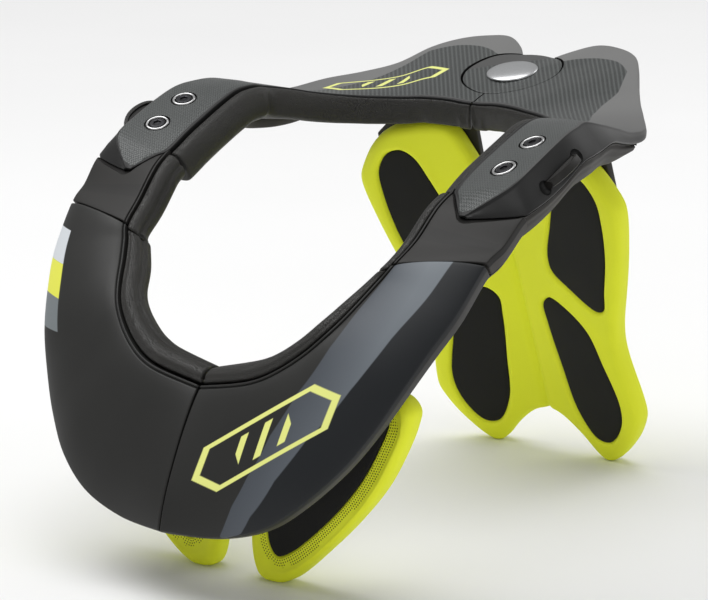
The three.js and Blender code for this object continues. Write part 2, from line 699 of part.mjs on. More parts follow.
// The housing under the arm, from the link to the wing's corner.
const housingStart = 1.9;
const housingEnd = armEnd + 3.2;
function armHousing() {
  const steps = 14;
  const rings = [];
  for (let i = 0; i <= steps; i += 1) {
    const t = housingStart + ((housingEnd - housingStart) * i) / steps;
    const { inner, width, across, normal } = surfaceFrame(frameEdges, t);
    const { outer, low } = frameEdges(t);
    const fade = Math.sin((Math.PI / 2) * Math.min(1, (steps - i + 2) / 6));
    const deep = housingDeep * fade;
    const down = vec(0, 0, -1);
    const under = -plateWall - linerClear;
    const innerWall = shellWall + housingInset;
    const outerWall = -shellWall - linerClear;
    const at = (from, offset, direction, distance) => move(move(from, across, offset), direction, distance);
    rings.push([
      at(inner, innerWall, normal, under),
      at(inner, width * 0.5, normal, under),
      at(outer, outerWall, normal, under),
      move(low, across, outerWall),
      at(low, outerWall, down, linerClear),
      at(low, -rimDraft, down, linerClear),
      at(low, -housingInset * fade, down, 0.6 * deep),
      at(low, -2 * housingInset, down, deep + linerClear),
      at(inner, innerWall + housingInset, down, plateWall + 1.6 * deep),
      at(inner, innerWall, down, plateWall + 1.2 * deep),
    ]);
  }
  return cutAway(loft(rings), leverRod(barrelRadius + gap, leverLength));
}

// Foam roll: distances into the opening and below the hard edge's surface.
const foamOutline = [
  { into: 0.05, under: 0.1 },
  { into: 0.3, under: 0.02 },
  { into: 0.62, under: 0.1 },
  { into: 0.86, under: 0.32 },
  { into: 1, under: 0.62 },
  { into: 0.88, under: 0.9 },
  { into: 0.3, under: 1.02 },
];

// The roll's back is tucked under the edge that carries it, below its stiffener.
function foamRing(frame, { proud, deep, tuck, below }) {
  const down = frame.normal.clone().negate();
  const at = (inwards, under) => move(move(frame.inner, frame.across, -inwards), down, under);
  const roll = foamOutline.map(({ into, under }) =>
    at(Math.max(into * proud * foamProud, foamClear), under * deep * foamDeep + gap),
  );
  return [at(foamClear, below), ...roll, at(-0.2 * tuck, 0.9 * deep * foamDeep), at(-tuck, below)];
}

function foamStretch(edges, start, end, steps, size) {
  const rings = [];
  for (let i = 0; i <= steps; i += 1) {
    const t = start + ((end - start) * i) / steps;
    rings.push(foamRing(surfaceFrame(edges, t), size(t)));
  }
  return rings;
}
const shellTuck = { tuck: 8, below: linerDeep + 2 * gap };
const armTuck = { tuck: 4, below: plateWall + 2 * gap };

// Each roll's size at its two ends, as shares of the full roll, and the rows between which it
// changes.
const rollSizes = {
  front: { from: 1.5, to: 5, proud: [1, 0.85], deep: [1, 0.8] },
  side: { from: linkStart, to: foamSideEnd, proud: [0.66, 0.66], deep: [0.78, 0.78] },
  rear: { from: armEnd - 2, to: armEnd + 6, proud: [0.95, 0.3], deep: [1, 0.82] },
};
function rollSize({ from, to, proud, deep }, seat) {
  return (t) => {
    const f = THREE.MathUtils.smoothstep(t, from, to);
    return { proud: THREE.MathUtils.lerp(...proud, f), deep: THREE.MathUtils.lerp(...deep, f), ...seat };
  };
}

function foamFront() {
  const size = rollSize(rollSizes.front, shellTuck);
  const rings = foamStretch(bandEdges, 0, linkStart - foamJoint, 13, size);
  seamSide(rings, 0);
  return loft(rings);
}

function foamSide() {
  const start = linkStart - foamJoint + foamStep;
  return loft(foamStretch(bandEdges, start, foamSideEnd, 5, rollSize(rollSizes.side, shellTuck)));
}

function foamRear() {
  const size = rollSize(rollSizes.rear, armTuck);
  const rings = foamStretch(frameEdges, foamRearStart, frameEnd - foamRearTrim, 26, size);
  const hub = aboutPivot(hubRadius + hubClear, -2 * hubRadius, hubRadius / 4, roundSides);
  return cutAway(loft(rings), seamCut(), hub);
}

// Rear pivot: the disc stands in the wings, and the hub under it carries the bridge.
const pivotDisc = () => aboutPivot(discRadius, -discThick + gap, discProud, roundSides);
function pivotBadge() {
  const profile = [
    [0, gap],
    [badgeRadius, gap],
    [badgeRadius, gap + badgeRim],
    [badgeRadius * 0.85, gap + 0.6 * badgeDome],
    [badgeRadius * 0.5, gap + 0.9 * badgeDome],
    [0, gap + badgeDome],
  ].map(([radius, height]) => new THREE.Vector2(radius, height));
  const dome = new THREE.LatheGeometry(profile, roundSides).rotateX(Math.PI / 2);
  dome.translate(0, 0, discProud);
  return place(dome, pivotCentre, sideways, pivotRear, pivotAxis);
}

const bridgeTop = -discThick - hubClear;
function padBridge() {
  const hub = aboutPivot(hubRadius, bridgeTop - hubThick, bridgeTop, roundSides);
  const bar = box(
    vec(-bridgeHalf, bridgeFront, bridgeTop - hubThick - bridgeThick),
    vec(bridgeHalf, bridgeRear, bridgeTop - hubThick / 2),
  );
  return joined(hub, place(bar, pivotCentre, sideways, pivotRear, pivotAxis));
}

// The back pad's own directions, for one half: out from the spine, down the pad, and its face.
const padDown = vec(0, Math.sin(backLean), -Math.cos(backLean));
const padFace = vec(0, -Math.cos(backLean), -Math.sin(backLean));
const padOut = vec(Math.cos(backWrap), 0, 0).addScaledVector(padFace, Math.sin(backWrap));
const padNormal = padDown.clone().cross(padOut).normalize();
const padTop = vec(0, backReach, crestHeight - backTopDrop);
if (padNormal.dot(padFace) < 0) padNormal.negate();

function padPoint(out, down, height) {
  return move(move(move(padTop, padOut, out), padDown, down), padNormal, height);
}

function backPadHalf() {
  const rows = 10;
  const face = [];
  const rear = [];
  const lastColumn = backEnds.length - 1;
  backEnds.forEach(({ out, top, foot }, column) => {
    face.push([]);
    rear.push([]);
    for (let i = 0; i <= rows; i += 1) {
      const share = i / rows;
      const down = THREE.MathUtils.lerp(top, foot, share);
      const across = out * lookUp(backWidths, "down", down, "across") * backHalf;
      const edge = i === 0 || i === rows || column === lastColumn;
      const groove = column === 0 ? spineGroove : 0;
      const round = edge ? edgeRound : 0;
      face[column].push(padPoint(across, down * backLength, -round - groove));
      rear[column].push(padPoint(across, down * backLength, -backThick + round));
    }
    if (column === 0) [...face[0], ...rear[0]].forEach((p) => (p.x = 0));
  });
  const positions = [];
  const at = new Map();
  const add = (key, point) => {
    at.set(key, positions.length / 3);
    positions.push(point.x, point.y, point.z);
  };
  const front = (c, r) => "f" + c + "," + r;
  const back = (c, r) => "r" + c + "," + r;
  face.forEach((points, c) => points.forEach((p, r) => add(front(c, r), p)));
  rear.forEach((points, c) => points.forEach((p, r) => add(back(c, r), p)));
  const index = [];
  const quad = (...keys) => {
    const [i, j, k, l] = keys.map((key) => at.get(key));
    index.push(i, j, k, i, k, l);
  };
  for (let c = 0; c < lastColumn; c += 1) {
    for (let r = 0; r < rows; r += 1) {
      quad(front(c, r), front(c, r + 1), front(c + 1, r + 1), front(c + 1, r));
      quad(back(c, r), back(c + 1, r), back(c + 1, r + 1), back(c, r + 1));
    }
    quad(front(c, 0), front(c + 1, 0), back(c + 1, 0), back(c, 0));
    quad(front(c, rows), back(c, rows), back(c + 1, rows), front(c + 1, rows));
  }
  for (let r = 0; r < rows; r += 1) {
    quad(front(0, r), back(0, r), back(0, r + 1), front(0, r + 1));
    quad(front(lastColumn, r), front(lastColumn, r + 1), back(lastColumn, r + 1), back(lastColumn, r));
  }
  const geometry = new THREE.BufferGeometry();
  geometry.setAttribute("position", new THREE.Float32BufferAttribute(positions, 3));
  geometry.setIndex(index);
  return faceOut(geometry);
}

// A closed smooth outline through the rows, grown or shrunk by an offset along its normals.
function outlineShape(points, offset, steps) {
  const curve = new THREE.CatmullRomCurve3(points.map(([x, y]) => vec(x, y, 0)), true, "centripetal");
  const shape = new THREE.Shape();
  const turn = Math.sign(THREE.ShapeUtils.area(curve.getPoints(steps).slice(0, -1)));
  for (let i = 0; i < steps; i += 1) {
    const p = curve.getPoint(i / steps);
    const tangent = curve.getTangent(i / steps);
    const x = p.x + tangent.y * offset * turn;
    const y = p.y - tangent.x * offset * turn;
    if (i === 0) shape.moveTo(x, y);
    else shape.lineTo(x, y);
  }
  shape.closePath();
  return shape;
}

function slab(shape, low, high) {
  const geometry = new THREE.ExtrudeGeometry(shape, { depth: high - low, bevelEnabled: false });
  return geometry.translate(0, 0, low);
}

function insertSlab(rows, offset, low, high) {
  const points = rows.map(({ across, down }) => [across * backHalf, down * backLength]);
  const flat = slab(outlineShape(points, offset, 22), low, high);
  return place(flat, padTop, padOut, padDown, padOut.clone().cross(padDown));
}

const insertLift = padOut.clone().cross(padDown).dot(padNormal) > 0 ? 1 : -1;
function backInsert(rows) {
  const floor = -pocketDeep + gap;
  const [a, b] = [insertLift * floor, insertLift * (floor + insertThick)];
  return insertSlab(rows, 0, Math.min(a, b), Math.max(a, b));
}

const belowTable = () => box(vec(-beyond, -beyond, -beyond), vec(beyond, beyond, 0));

function backPad() {
  const half = backPadHalf();
  const whole = joined(half, mirrored(half));
  const pocket = (rows) => {
    const [a, b] = [-insertLift * pocketDeep, insertLift * pocketOpen];
    return insertSlab(rows, gap, Math.min(a, b), Math.max(a, b));
  };
  const pockets = [pocket(upperInsert), pocket(lowerInsert)];
  return cutAway(whole, ...pockets, ...pockets.map(mirrored), belowTable());
}

// Struts from the bridge down behind the pad's upper lobes.
function padStrut() {
  const behind = -backThick - gap;
  const outline = [
    [strutInner + strutCorner / 5, strutLength],
    [strutInner, -strutRise],
    [bridgeHalf - strutCorner / 8, -strutRise],
    [strutOuter, 0.9 * strutCorner],
    [strutOuter, strutLength - 1.6 * strutCorner],
    [strutOuter - strutCorner, strutLength],
  ];
  const ring = (height) => outline.map(([out, down]) => padPoint(out, down, height));
  return loft([ring(behind), ring(behind - strutThick)]);
}

// Chest pads: flat lobes behind the apron, standing on the table.
function chestShape(rows, offset, steps) {
  const points = rows.map(({ across, up }) => [across * chestHalf, up * chestTall]);
  return outlineShape(points, offset, steps);
}

function chestSlab(offset, front, rear) {
  const flat = slab(chestShape(panelOutline, offset, 22), -rear, -front);
  return place(flat, vec(0, 0, 0), sideways, vec(0, 0, 1), vec(0, -1, 0));
}

const chestFront = -chestSet - chestThick / 2;
const chestRear = -chestSet + chestThick / 2;
function chestPad() {
  const round = edgeRound;
  const shapes = [
    [-round, chestFront],
    [-0.3 * round, chestFront + 0.35 * round],
    [0, chestFront + round],
    [0, chestRear - round],
    [-round, chestRear],
  ].map(([offset, y]) => chestShape(chestOutline, offset, 28).getPoints().map((p) => vec(p.x, y, p.y)));
  const closes = (ring) => ring[0].distanceTo(ring[ring.length - 1]) < 1e-6;
  const rings = shapes.map((ring) => (closes(ring) ? ring.slice(0, -1) : ring));
  const pocket = chestSlab(gap, chestFront - pocketOpen, chestFront + pocketDeep);
  return cutAway(loft(rings), pocket, belowTable());
}
const panelFloor = chestFront + pocketDeep - gap;
const chestInsert = () => chestSlab(0, panelFloor - chestPanel, panelFloor);

// Bracket between the shell's stiffener and the chest panel.
const bracketRows = [4.1, 6.2];
const bracketShares = [0.3, 0.66];
function chestBracket() {
  const face = panelFloor - chestPanel - gap;
  const corners = [
    [bracketRows[0], bracketShares[0]],
    [bracketRows[1], bracketShares[0]],
    [bracketRows[1], bracketShares[1]],
    [bracketRows[0], bracketShares[1]],
  ];
  const near = corners.map(([t, share]) => bandPoint(t, share, 0, -linerDeep - bracketSet));
  const middle = near.reduce((sum, p) => sum.add(p), vec(0, 0, 0)).multiplyScalar(1 / near.length);
  const far = near.map((p) => {
    const q = p.clone().lerp(middle, bracketTaper);
    return vec(q.x - bracketShift, face, q.z - bracketFall);
  });
  return loft([near, far]);
}

function screwHead() {
  const profile = [
    [0, gap],
    [screwRadius, gap],
    [screwRadius, recessDeep - headProud],
    [screwRadius - screwSoft, recessDeep + headProud],
    [socketRadius, recessDeep + headProud],
    [socketRadius - headProud, gap + screwSoft],
    [0, gap + screwSoft],
  ].map(([radius, height]) => new THREE.Vector2(radius, height));
  return new THREE.LatheGeometry(profile, screwSides).rotateX(Math.PI / 2).translate(0, 0, -recessDeep);
}

function screwWasher() {
  const profile = [
    [washerBore, gap],
    [washerRadius, gap],
    [washerRadius, recessDeep - headProud / 2],
    [(washerRadius + washerBore) / 2, recessDeep + headProud],
    [washerBore, recessDeep - headProud / 2],
    [washerBore, gap],
  ].map(([radius, height]) => new THREE.Vector2(radius, height));
  return new THREE.LatheGeometry(profile, ringSides).rotateX(Math.PI / 2).translate(0, 0, -recessDeep);
}

const brace = new THREE.Group();
function add(name, geometry, material) {
  const plain = bare(geometry);
  plain.computeVertexNormals();
  const mesh = new THREE.Mesh(plain, material.clone());
  mesh.name = name;
  brace.add(mesh);
}
function addPair(name, geometry, material) {
  add(name + "_left", geometry, material);
  add(name + "_right", mirrored(geometry), material);
}

addPair("front_shell", frontShell(), materials.shell);
addPair("shell_liner", shellLiner(), materials.liner);
addPair("side_link", sideLink(), materials.link);
addPair("arm_wing", armFrame(), materials.carbon);
addPair("arm_housing", armHousing(), materials.liner);
addPair("foam_front", foamFront(), materials.foam);
addPair("foam_side", foamSide(), materials.foam);
addPair("foam_rear", foamRear(), materials.foam);
addPair("release_lever", releaseLever(), materials.link);
for (const screw of screwSpots) {
  addPair("screw_" + screw.name, atScrew(screwHead(), screw), materials.steel);
  addPair("washer_" + screw.name, atScrew(screwWasher(), screw), materials.chrome);
}
addPair("chest_pad", chestPad(), materials.yellow);
addPair("chest_panel", chestInsert(), materials.insert);
addPair("chest_bracket", chestBracket(), materials.liner);
add("pivot_disc", pivotDisc(), materials.carbon);
add("pivot_badge", pivotBadge(), materials.badge);
add("pad_bridge", padBridge(), materials.liner);
addPair("pad_strut", padStrut(), materials.liner);
add("back_pad", backPad(), materials.yellow);
addPair("back_insert_upper", backInsert(upperInsert), materials.insert);
addPair("back_insert_lower", backInsert(lowerInsert), materials.insert);

// The origin is on the table, under the middle of the brace.
const extent = new THREE.Box3().setFromObject(brace);
brace.position.y = -(extent.min.y + extent.max.y) / 2;
const group = new THREE.Group();
group.add(brace);

export default group;
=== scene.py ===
import functools
import json
import math

import bmesh
import bpy
import numpy as np
from bpy.props import FloatProperty, FloatVectorProperty, PointerProperty
from mathutils import Matrix, Vector
from mathutils.geometry import delaunay_2d_cdt

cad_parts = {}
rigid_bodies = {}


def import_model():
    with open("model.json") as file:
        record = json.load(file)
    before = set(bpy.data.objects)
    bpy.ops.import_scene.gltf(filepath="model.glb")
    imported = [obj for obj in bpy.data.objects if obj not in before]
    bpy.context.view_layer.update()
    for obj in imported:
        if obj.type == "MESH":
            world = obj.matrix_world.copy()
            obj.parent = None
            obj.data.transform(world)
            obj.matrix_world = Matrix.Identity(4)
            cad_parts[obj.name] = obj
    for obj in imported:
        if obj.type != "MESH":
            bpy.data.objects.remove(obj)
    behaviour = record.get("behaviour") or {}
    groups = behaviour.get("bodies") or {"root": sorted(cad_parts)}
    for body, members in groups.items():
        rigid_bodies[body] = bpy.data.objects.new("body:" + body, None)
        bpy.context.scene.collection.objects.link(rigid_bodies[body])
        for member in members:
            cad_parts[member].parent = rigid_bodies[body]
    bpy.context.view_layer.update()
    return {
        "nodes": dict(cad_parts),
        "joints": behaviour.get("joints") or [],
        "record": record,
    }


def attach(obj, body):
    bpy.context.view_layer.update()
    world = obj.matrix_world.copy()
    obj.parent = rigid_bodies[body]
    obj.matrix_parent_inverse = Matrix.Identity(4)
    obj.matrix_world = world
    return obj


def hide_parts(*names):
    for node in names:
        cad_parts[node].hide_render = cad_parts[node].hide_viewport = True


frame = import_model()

bl_info = {
    "name": "Motocross neck brace",
    "version": (1, 0, 0),
    "blender": (4, 5, 0),
    "location": "3D View > Sidebar > Neck brace",
    "description": "Dresses the packed neck brace: moulded shells, carbon arms, foam and pads",
    "category": "Object",
}

MM = 0.001

# Main sizes of the ring round the neck, as in the frame's source.
NECK_HALF = 93.5 * MM
RING_HALF = 139 * MM
FRONT_REACH = 153 * MM
REAR_REACH = 203.5 * MM
CREST = 228 * MM
FRONT_DROP = 191 * MM
WING_RISE = 14 * MM
PIVOT_INSET = 45 * MM
HUB_RADIUS = 37 * MM
DISC_RADIUS = 28 * MM
DISC_THICK = 3.6 * MM
BADGE_RADIUS = 14.5 * MM
BADGE_DOME = 2.9 * MM
GAP = 0.35 * MM
SEAM = 0.45 * MM
LINER_SEAM = 0.15 * MM
LINK_SEAM = 0.9 * MM
DISC_SEAM = 1.2 * MM
HUB_SEAM = 0.6 * MM
WALL = 3 * MM
LIP = 5 * MM
RIM = 9 * MM
PLATE = 5 * MM
LINER_DEEP = 7 * MM
HOUSING_DEEP = 13 * MM
WASHER_RADIUS = 6.4 * MM
WASHER_BORE = 4.9 * MM
WASHER_SEAM = 0.9 * MM
SCREW_RADIUS = 4.4 * MM
SOCKET_RADIUS = 2.1 * MM
RECESS = 1.6 * MM
LEVER_LENGTH = 29 * MM
LEVER_THICK = 4.4 * MM
LEVER_REACH = 8 * MM
SCOOP_RADIUS = 4.2 * MM
SCOOP_BEYOND = 1.2 * MM
BACK_HALF = 90 * MM
BACK_THICK = 13 * MM
BACK_LEAN = math.atan(0.4)
BACK_WRAP = math.radians(8.3)
BACK_TOP_DROP = 26 * MM
BACK_LENGTH = (CREST - BACK_TOP_DROP) / math.cos(BACK_LEAN) + 1.4 * MM
BACK_SET = 30.5 * MM
CHEST_HALF = 112 * MM
CHEST_TALL = 110 * MM
CHEST_SET = 87 * MM
CHEST_THICK = 13 * MM
POCKET_DEEP = 2.4 * MM
POCKET_EDGE = 1.6 * MM
INSERT_FLOOR = -2.2 * MM
INSERT_CROWN = 0.5 * MM
BACK_PROUD = -0.7 * MM
PANEL_PROUD = 0.3 * MM
PAD_STEP = 4 * MM
HOLE_ROWS = 4
HOLE_START = 1.6 * MM
HOLE_MARGIN = 4.5 * MM
FAR = 0.4
TINY = 1e-7

HINGES = {joint["name"]: joint for joint in frame["joints"]}
PIVOT_AXIS = np.array(HINGES["hinge_left"]["axis"], float)
PIVOT = np.array(HINGES["hinge_left"]["pos_m"], float)
NECK_Y = PIVOT[1] - (REAR_REACH - PIVOT_INSET)
LEVER_PIN = np.array(HINGES["lever_tilt_left"]["pos_m"], float)
LEVER_ALONG = -np.array(HINGES["lever_tilt_left"]["axis"], float)


def table(columns, *rows):
    """Rows of numbers as one array for each named column."""
    return dict(zip(columns.split(), np.array(rows, float).T))


# Ring surface from the front seam (row 0) to the end of the side link (row 12), in the shares
# that the frame's source uses.
BAND = table(
    "in_x in_y in_drop out_x out_y out_drop",
    (0, -0.784, 0.644, 0, -1, 1),
    (0.257, -0.791, 0.618, 0.216, -0.961, 0.998),
    (0.396, -0.781, 0.597, 0.41, -0.935, 0.955),
    (0.513, -0.758, 0.565, 0.554, -0.895, 0.88),
    (0.62, -0.725, 0.524, 0.669, -0.83, 0.791),
    (0.706, -0.686, 0.479, 0.755, -0.768, 0.696),
    (0.77, -0.634, 0.435, 0.827, -0.706, 0.592),
    (0.824, -0.575, 0.387, 0.885, -0.627, 0.492),
    (0.877, -0.523, 0.34, 0.935, -0.536, 0.398),
    (0.919, -0.486, 0.303, 0.965, -0.41, 0.282),
    (0.952, -0.392, 0.249, 0.982, -0.327, 0.241),
    (0.973, -0.288, 0.173, 0.996, -0.248, 0.183),
    (0.989, -0.196, 0.134, 1, -0.17, 0.152),
)
LINK_START = 9
LINER_END = 10.4
ROW_GAP = 0.03
ZONES_ROUND = 4

# Arm: each w is a share of the way out from NECK_HALF to RING_HALF.
ARM = table(
    "in_w in_y in_drop top_w top_y top_drop low_w low_y low_drop",
    (0.286, -0.305, 0.186, 0.352, -0.305, 0.185, 0.386, -0.303, 0.191),
    (0.164, -0.268, 0.165, 0.539, -0.271, 0.152, 0.737, -0.268, 0.183),
    (0.066, -0.235, 0.148, 0.691, -0.235, 0.123, 0.966, -0.235, 0.175),
    (-0.014, -0.199, 0.136, 0.768, -0.193, 0.1, 1.006, -0.196, 0.166),
    (-0.018, -0.098, 0.094, 0.78, -0.092, 0.065, 1, -0.098, 0.147),
    (-0.008, 0.01, 0.056, 0.777, 0.01, 0.031, 0.966, 0.01, 0.12),
    (0, 0.084, 0.025, 0.759, 0.084, 0.005, 0.979, 0.088, 0.076),
    (-0.004, 0.143, 0.005, 0.713, 0.147, -0.004, 0.933, 0.157, 0.068),
    (-0.033, 0.206, 0, 0.636, 0.211, -0.005, 0.835, 0.226, 0.068),
)
# Rear wing: in_x is a share of NECK_HALF, top_x and low_x of RING_HALF.
WING = table(
    "in_x in_y in_drop top_x top_y top_drop low_x low_y low_drop",
    (1, 0.265, 0.16, 0.874, 0.295, 0.21, 0.914, 0.314, 0.86),
    (0.93, 0.324, 0.31, 0.86, 0.383, 0.54, 0.885, 0.398, 1.11),
    (0.856, 0.378, 0.5, 0.851, 0.462, 0.84, 0.863, 0.472, 1.29),
    (0.77, 0.437, 0.66, 0.842, 0.536, 0.86, 0.845, 0.541, 1.25),
    (0.663, 0.491, 0.77, 0.763, 0.614, 0.57, 0.764, 0.618, 0.96),
    (0.535, 0.531, 0.79, 0.669, 0.703, 0.36, 0.67, 0.706, 0.75),
    (0.428, 0.547, 0.76, 0.583, 0.791, 0.07, 0.583, 0.794, 0.46),
    (0.321, 0.558, 0.71, 0.504, 0.875, -0.5, 0.504, 0.877, -0.1),
    (0.214, 0.57, 0.71, 0.424, 0.944, -0.81, 0.423, 0.946, -0.42),
    (0.14, 0.577, 0.74, 0.324, 0.983, -0.96, 0.322, 0.984, -0.58),
    (0.09, 0.579, 0.77, 0.216, 0.983, -1, 0.214, 0.982, -0.62),
    (0.04, 0.58, 0.79, 0.118, 0.94, -0.7, 0.117, 0.938, -0.32),
    (-0.03, 0.58, 0.79, 0.04, 0.87, -0.3, 0.04, 0.869, 0.1),
)
ARM_END = 8
FRAME_END = 21

# Width share at which the carbon inlay ends, by row of the arm and wing.
INLAY = table(
    "row share",
    (0, 0.9), (3, 0.975), (7, 0.975), (8, 0.93), (9, 0.68), (10, 0.5), (11, 0.42), (12, 0.38),
    (13, 0.47), (14, 0.63), (15, 0.82), (16, 0.91), (17, 0.87), (18, 0.81), (19, 0.72), (21, 0.72),
)
# The grey stripe of the left shell: its two edges' width shares by row.
STRIPE = table(
    "row inner outer",
    (1.14, 0.988, 1.3), (1.4, 0.805, 1.06), (1.8, 0.635, 0.9), (2.5, 0.435, 0.745),
    (3.53, 0.268, 0.625), (5.11, 0.143, 0.59), (6.73, 0.075, 0.61), (9.07, 0.0, 0.69),
)

PRINT_SOFT = 0.012
SHELL_FIGURE = (50 * MM, 88 * MM)
SHELL_FIGURE_TURN = 34
LINK_BAND = (10.05, 10.45)
# Near-black painted shade, drawn as the gap line below a cover's edge.
PAINTED_GAP_SHADE = (0.006, 0.006, 0.006)
# The right shell's bands: the row and slope of each end, from the top, and the three tints.
LABEL_ENDS = ((8.32, 0.7), (7.42, 1.67), (6.46, 2.08), (5.59, 2.2))
LABEL_TINTS = ((0.62, 0.65, 0.68), (0.75, 0.76, 0.09), (0.17, 0.19, 0.2))

# Back pad outline of one half: out is a share of the width there, top and foot of the length.
BACK_WIDTHS = table(
    "down across",
    (0, 0.98), (0.2, 0.98), (0.345, 0.9), (0.46, 0.815), (0.56, 0.735),
    (0.63, 0.722), (0.71, 0.755), (0.79, 0.79), (1, 0.79),
)
BACK_ENDS = table(
    "out top foot",
    (0, 0.235, 0.872), (0.07, 0.185, 0.874), (0.14, 0.1, 0.882), (0.21, 0.015, 0.9),
    (0.32, 0, 0.93), (0.44, 0.004, 0.978), (0.55, 0.012, 1), (0.68, 0.022, 0.972),
    (0.8, 0.05, 0.93), (0.91, 0.1, 0.885), (1, 0.17, 0.82),
)
UPPER_INSERT = table(
    "across down",
    (0.62, 0.08), (0.73, 0.092), (0.82, 0.145), (0.83, 0.22), (0.8, 0.32), (0.735, 0.42),
    (0.685, 0.492), (0.62, 0.5), (0.42, 0.447), (0.31, 0.405), (0.3, 0.36), (0.38, 0.26),
    (0.46, 0.17), (0.54, 0.1),
)
LOWER_INSERT = table(
    "across down",
    (0.17, 0.515), (0.25, 0.49), (0.37, 0.513), (0.51, 0.57), (0.58, 0.66), (0.655, 0.79),
    (0.61, 0.868), (0.49, 0.925), (0.38, 0.922), (0.265, 0.845), (0.21, 0.71), (0.17, 0.58),
)
CHEST = table(
    "across up",
    (0.11, 0.06), (0.145, 0.008), (0.23, -0.008), (0.32, 0.025), (0.53, 0.21), (0.69, 0.375),
    (0.83, 0.55), (0.92, 0.71), (0.98, 0.85), (0.995, 0.93), (0.95, 0.985), (0.87, 1),
    (0.66, 0.94), (0.44, 0.8), (0.25, 0.6), (0.13, 0.38), (0.09, 0.2),
)
PANEL = table(
    "across up",
    (0.857, 0.927), (0.875, 0.873), (0.812, 0.718), (0.723, 0.564), (0.607, 0.418),
    (0.464, 0.273), (0.321, 0.155), (0.25, 0.127), (0.205, 0.18), (0.196, 0.327),
    (0.241, 0.49), (0.357, 0.673), (0.536, 0.8), (0.732, 0.89),
)
# Foam roll: shares into the opening and below the hard edge.
ROLL = table(
    "into under",
    (0.05, 0.1), (0.3, 0.02), (0.62, 0.1), (0.86, 0.32), (1, 0.62), (0.88, 0.9), (0.3, 1.02),
)
FOAM_PROUD = 13 * MM
FOAM_DEEP = 19 * MM
ROLL_SIDES = 28
CLOTH_FRAMES = 20


# Settings


def colour(name, text, value):
    return FloatVectorProperty(
        name=name, description=text, default=value, subtype="COLOR", size=3, min=0, max=1
    )


def length(name, text, value):
    return FloatProperty(
        name=name, description=text, default=value, unit="LENGTH", subtype="DISTANCE"
    )


SLOTS = {m["slot"]: tuple(m["base_color"]) for m in frame["record"]["materials"]}


def darker(value, factor):
    return tuple(c * factor for c in value)


class BraceSizes(bpy.types.PropertyGroup):
    shell_crown: length("Shell crown", "Bulge of the front shell between its edges", 4 * MM)
    link_crown: length("Link crown", "Bulge of the side link", 1.4 * MM)
    arm_crown: length("Arm crown", "Bulge of the arm's top", 0.6 * MM)
    edge_round: length("Edge rounding", "Rounding where two moulded pieces meet", 0.9 * MM)
    weave: length("Weave", "Width of one carbon tow", 1.2 * MM)
    rib: length("Rib", "Spacing of the ribs on the rear wings", 2.4 * MM)
    pad_round: length("Pad rounding", "Rounding of the pads' outer edges", 5 * MM)
    hole_step: length("Hole spacing", "Spacing of the chest pads' perforations", 1.55 * MM)
    hole_size: length("Hole size", "Radius of one perforation", 0.42 * MM)
    foam_swell: length("Foam swell", "How far the foam may swell under its cover", 1.6 * MM)


class BraceColours(bpy.types.PropertyGroup):
    shell: colour("Shell", "Satin charcoal of the front shells", darker(SLOTS["shell"], 0.38))
    stripe_low: colour("Stripe, low end", "Grey stripe near the lower edge", (0.085, 0.097, 0.115))
    stripe_high: colour("Stripe, high end", "Grey stripe near the arm", (0.16, 0.18, 0.2))
    stripe_dark: colour("Outer field", "Dark field outside the stripe", (0.009, 0.0105, 0.0125))
    accent: colour("Accent", "Pale yellow of the outlined figures", (0.8, 0.83, 0.25))
    link: colour("Link", "Side links and levers", darker(SLOTS["link"], 0.42))
    liner: colour("Liner", "Housings, stiffeners and brackets", darker(SLOTS["liner"], 0.5))
    carbon: colour("Carbon", "Light tows of the carbon weave", darker(SLOTS["carbon"], 0.24))
    satin: colour("Satin rim", "Moulded rims round the carbon", (0.07, 0.07, 0.069))
    foam: colour("Foam", "Leather grain of the collar", darker(SLOTS["foam"], 0.5))
    pad: colour("Pad", "Fluorescent moulded foam", (0.84, 0.9, 0.03))
    insert: colour("Insert", "Brushed textile of the inserts", darker(SLOTS["insert"], 0.6))


def sizes():
    return bpy.context.scene.brace_sizes


def colours():
    return bpy.context.scene.brace_colours


# Smooth strips and swept sections


def smooth(values, t):
    """Values of a table at rows t, along a smooth curve through its rows."""
    last = len(values) - 1
    i = np.clip(np.floor(t), 0, last - 1).astype(int)
    f = np.asarray(t - i)[..., None] if values.ndim > 1 else t - i
    a, b, c, d = [values[np.clip(i + k, 0, last)] for k in (-1, 0, 1, 2)]
    return b + 0.5 * f * (c - a + f * (2 * a - 5 * b + 4 * c - d + f * (3 * (b - c) + d - a)))


def lengthwise(share):
    """A place along the brace from its share in front of or behind the neck."""
    return share * np.where(share < 0, FRONT_REACH, REAR_REACH) + NECK_Y


def band_lines():
    """Inner and outer edge of the front ring, from the seam to the link's end."""

    def line(side, half):
        height = CREST - BAND[side + "_drop"] * FRONT_DROP
        return np.stack([BAND[side + "_x"] * half, lengthwise(BAND[side + "_y"]), height], -1)

    return line("in", NECK_HALF), line("out", RING_HALF), line("out", RING_HALF)


def frame_lines():
    """Inner, top and lower edge of the arm and its rear wing."""

    def line(side):
        arm_x = NECK_HALF + (RING_HALF - NECK_HALF) * ARM[side + "_w"]
        wing_x = WING[side + "_x"] * (NECK_HALF if side == "in" else RING_HALF)
        y = np.concatenate([ARM[side + "_y"], WING[side + "_y"]])
        drop = np.concatenate([ARM[side + "_drop"] * FRONT_DROP, WING[side + "_drop"] * WING_RISE])
        return np.stack([np.concatenate([arm_x, wing_x]), lengthwise(y), CREST - drop], -1)

    return line("in"), line("top"), line("low")


def unit(v):
    return v / np.maximum(np.linalg.norm(v, axis=-1, keepdims=True), 1e-12)


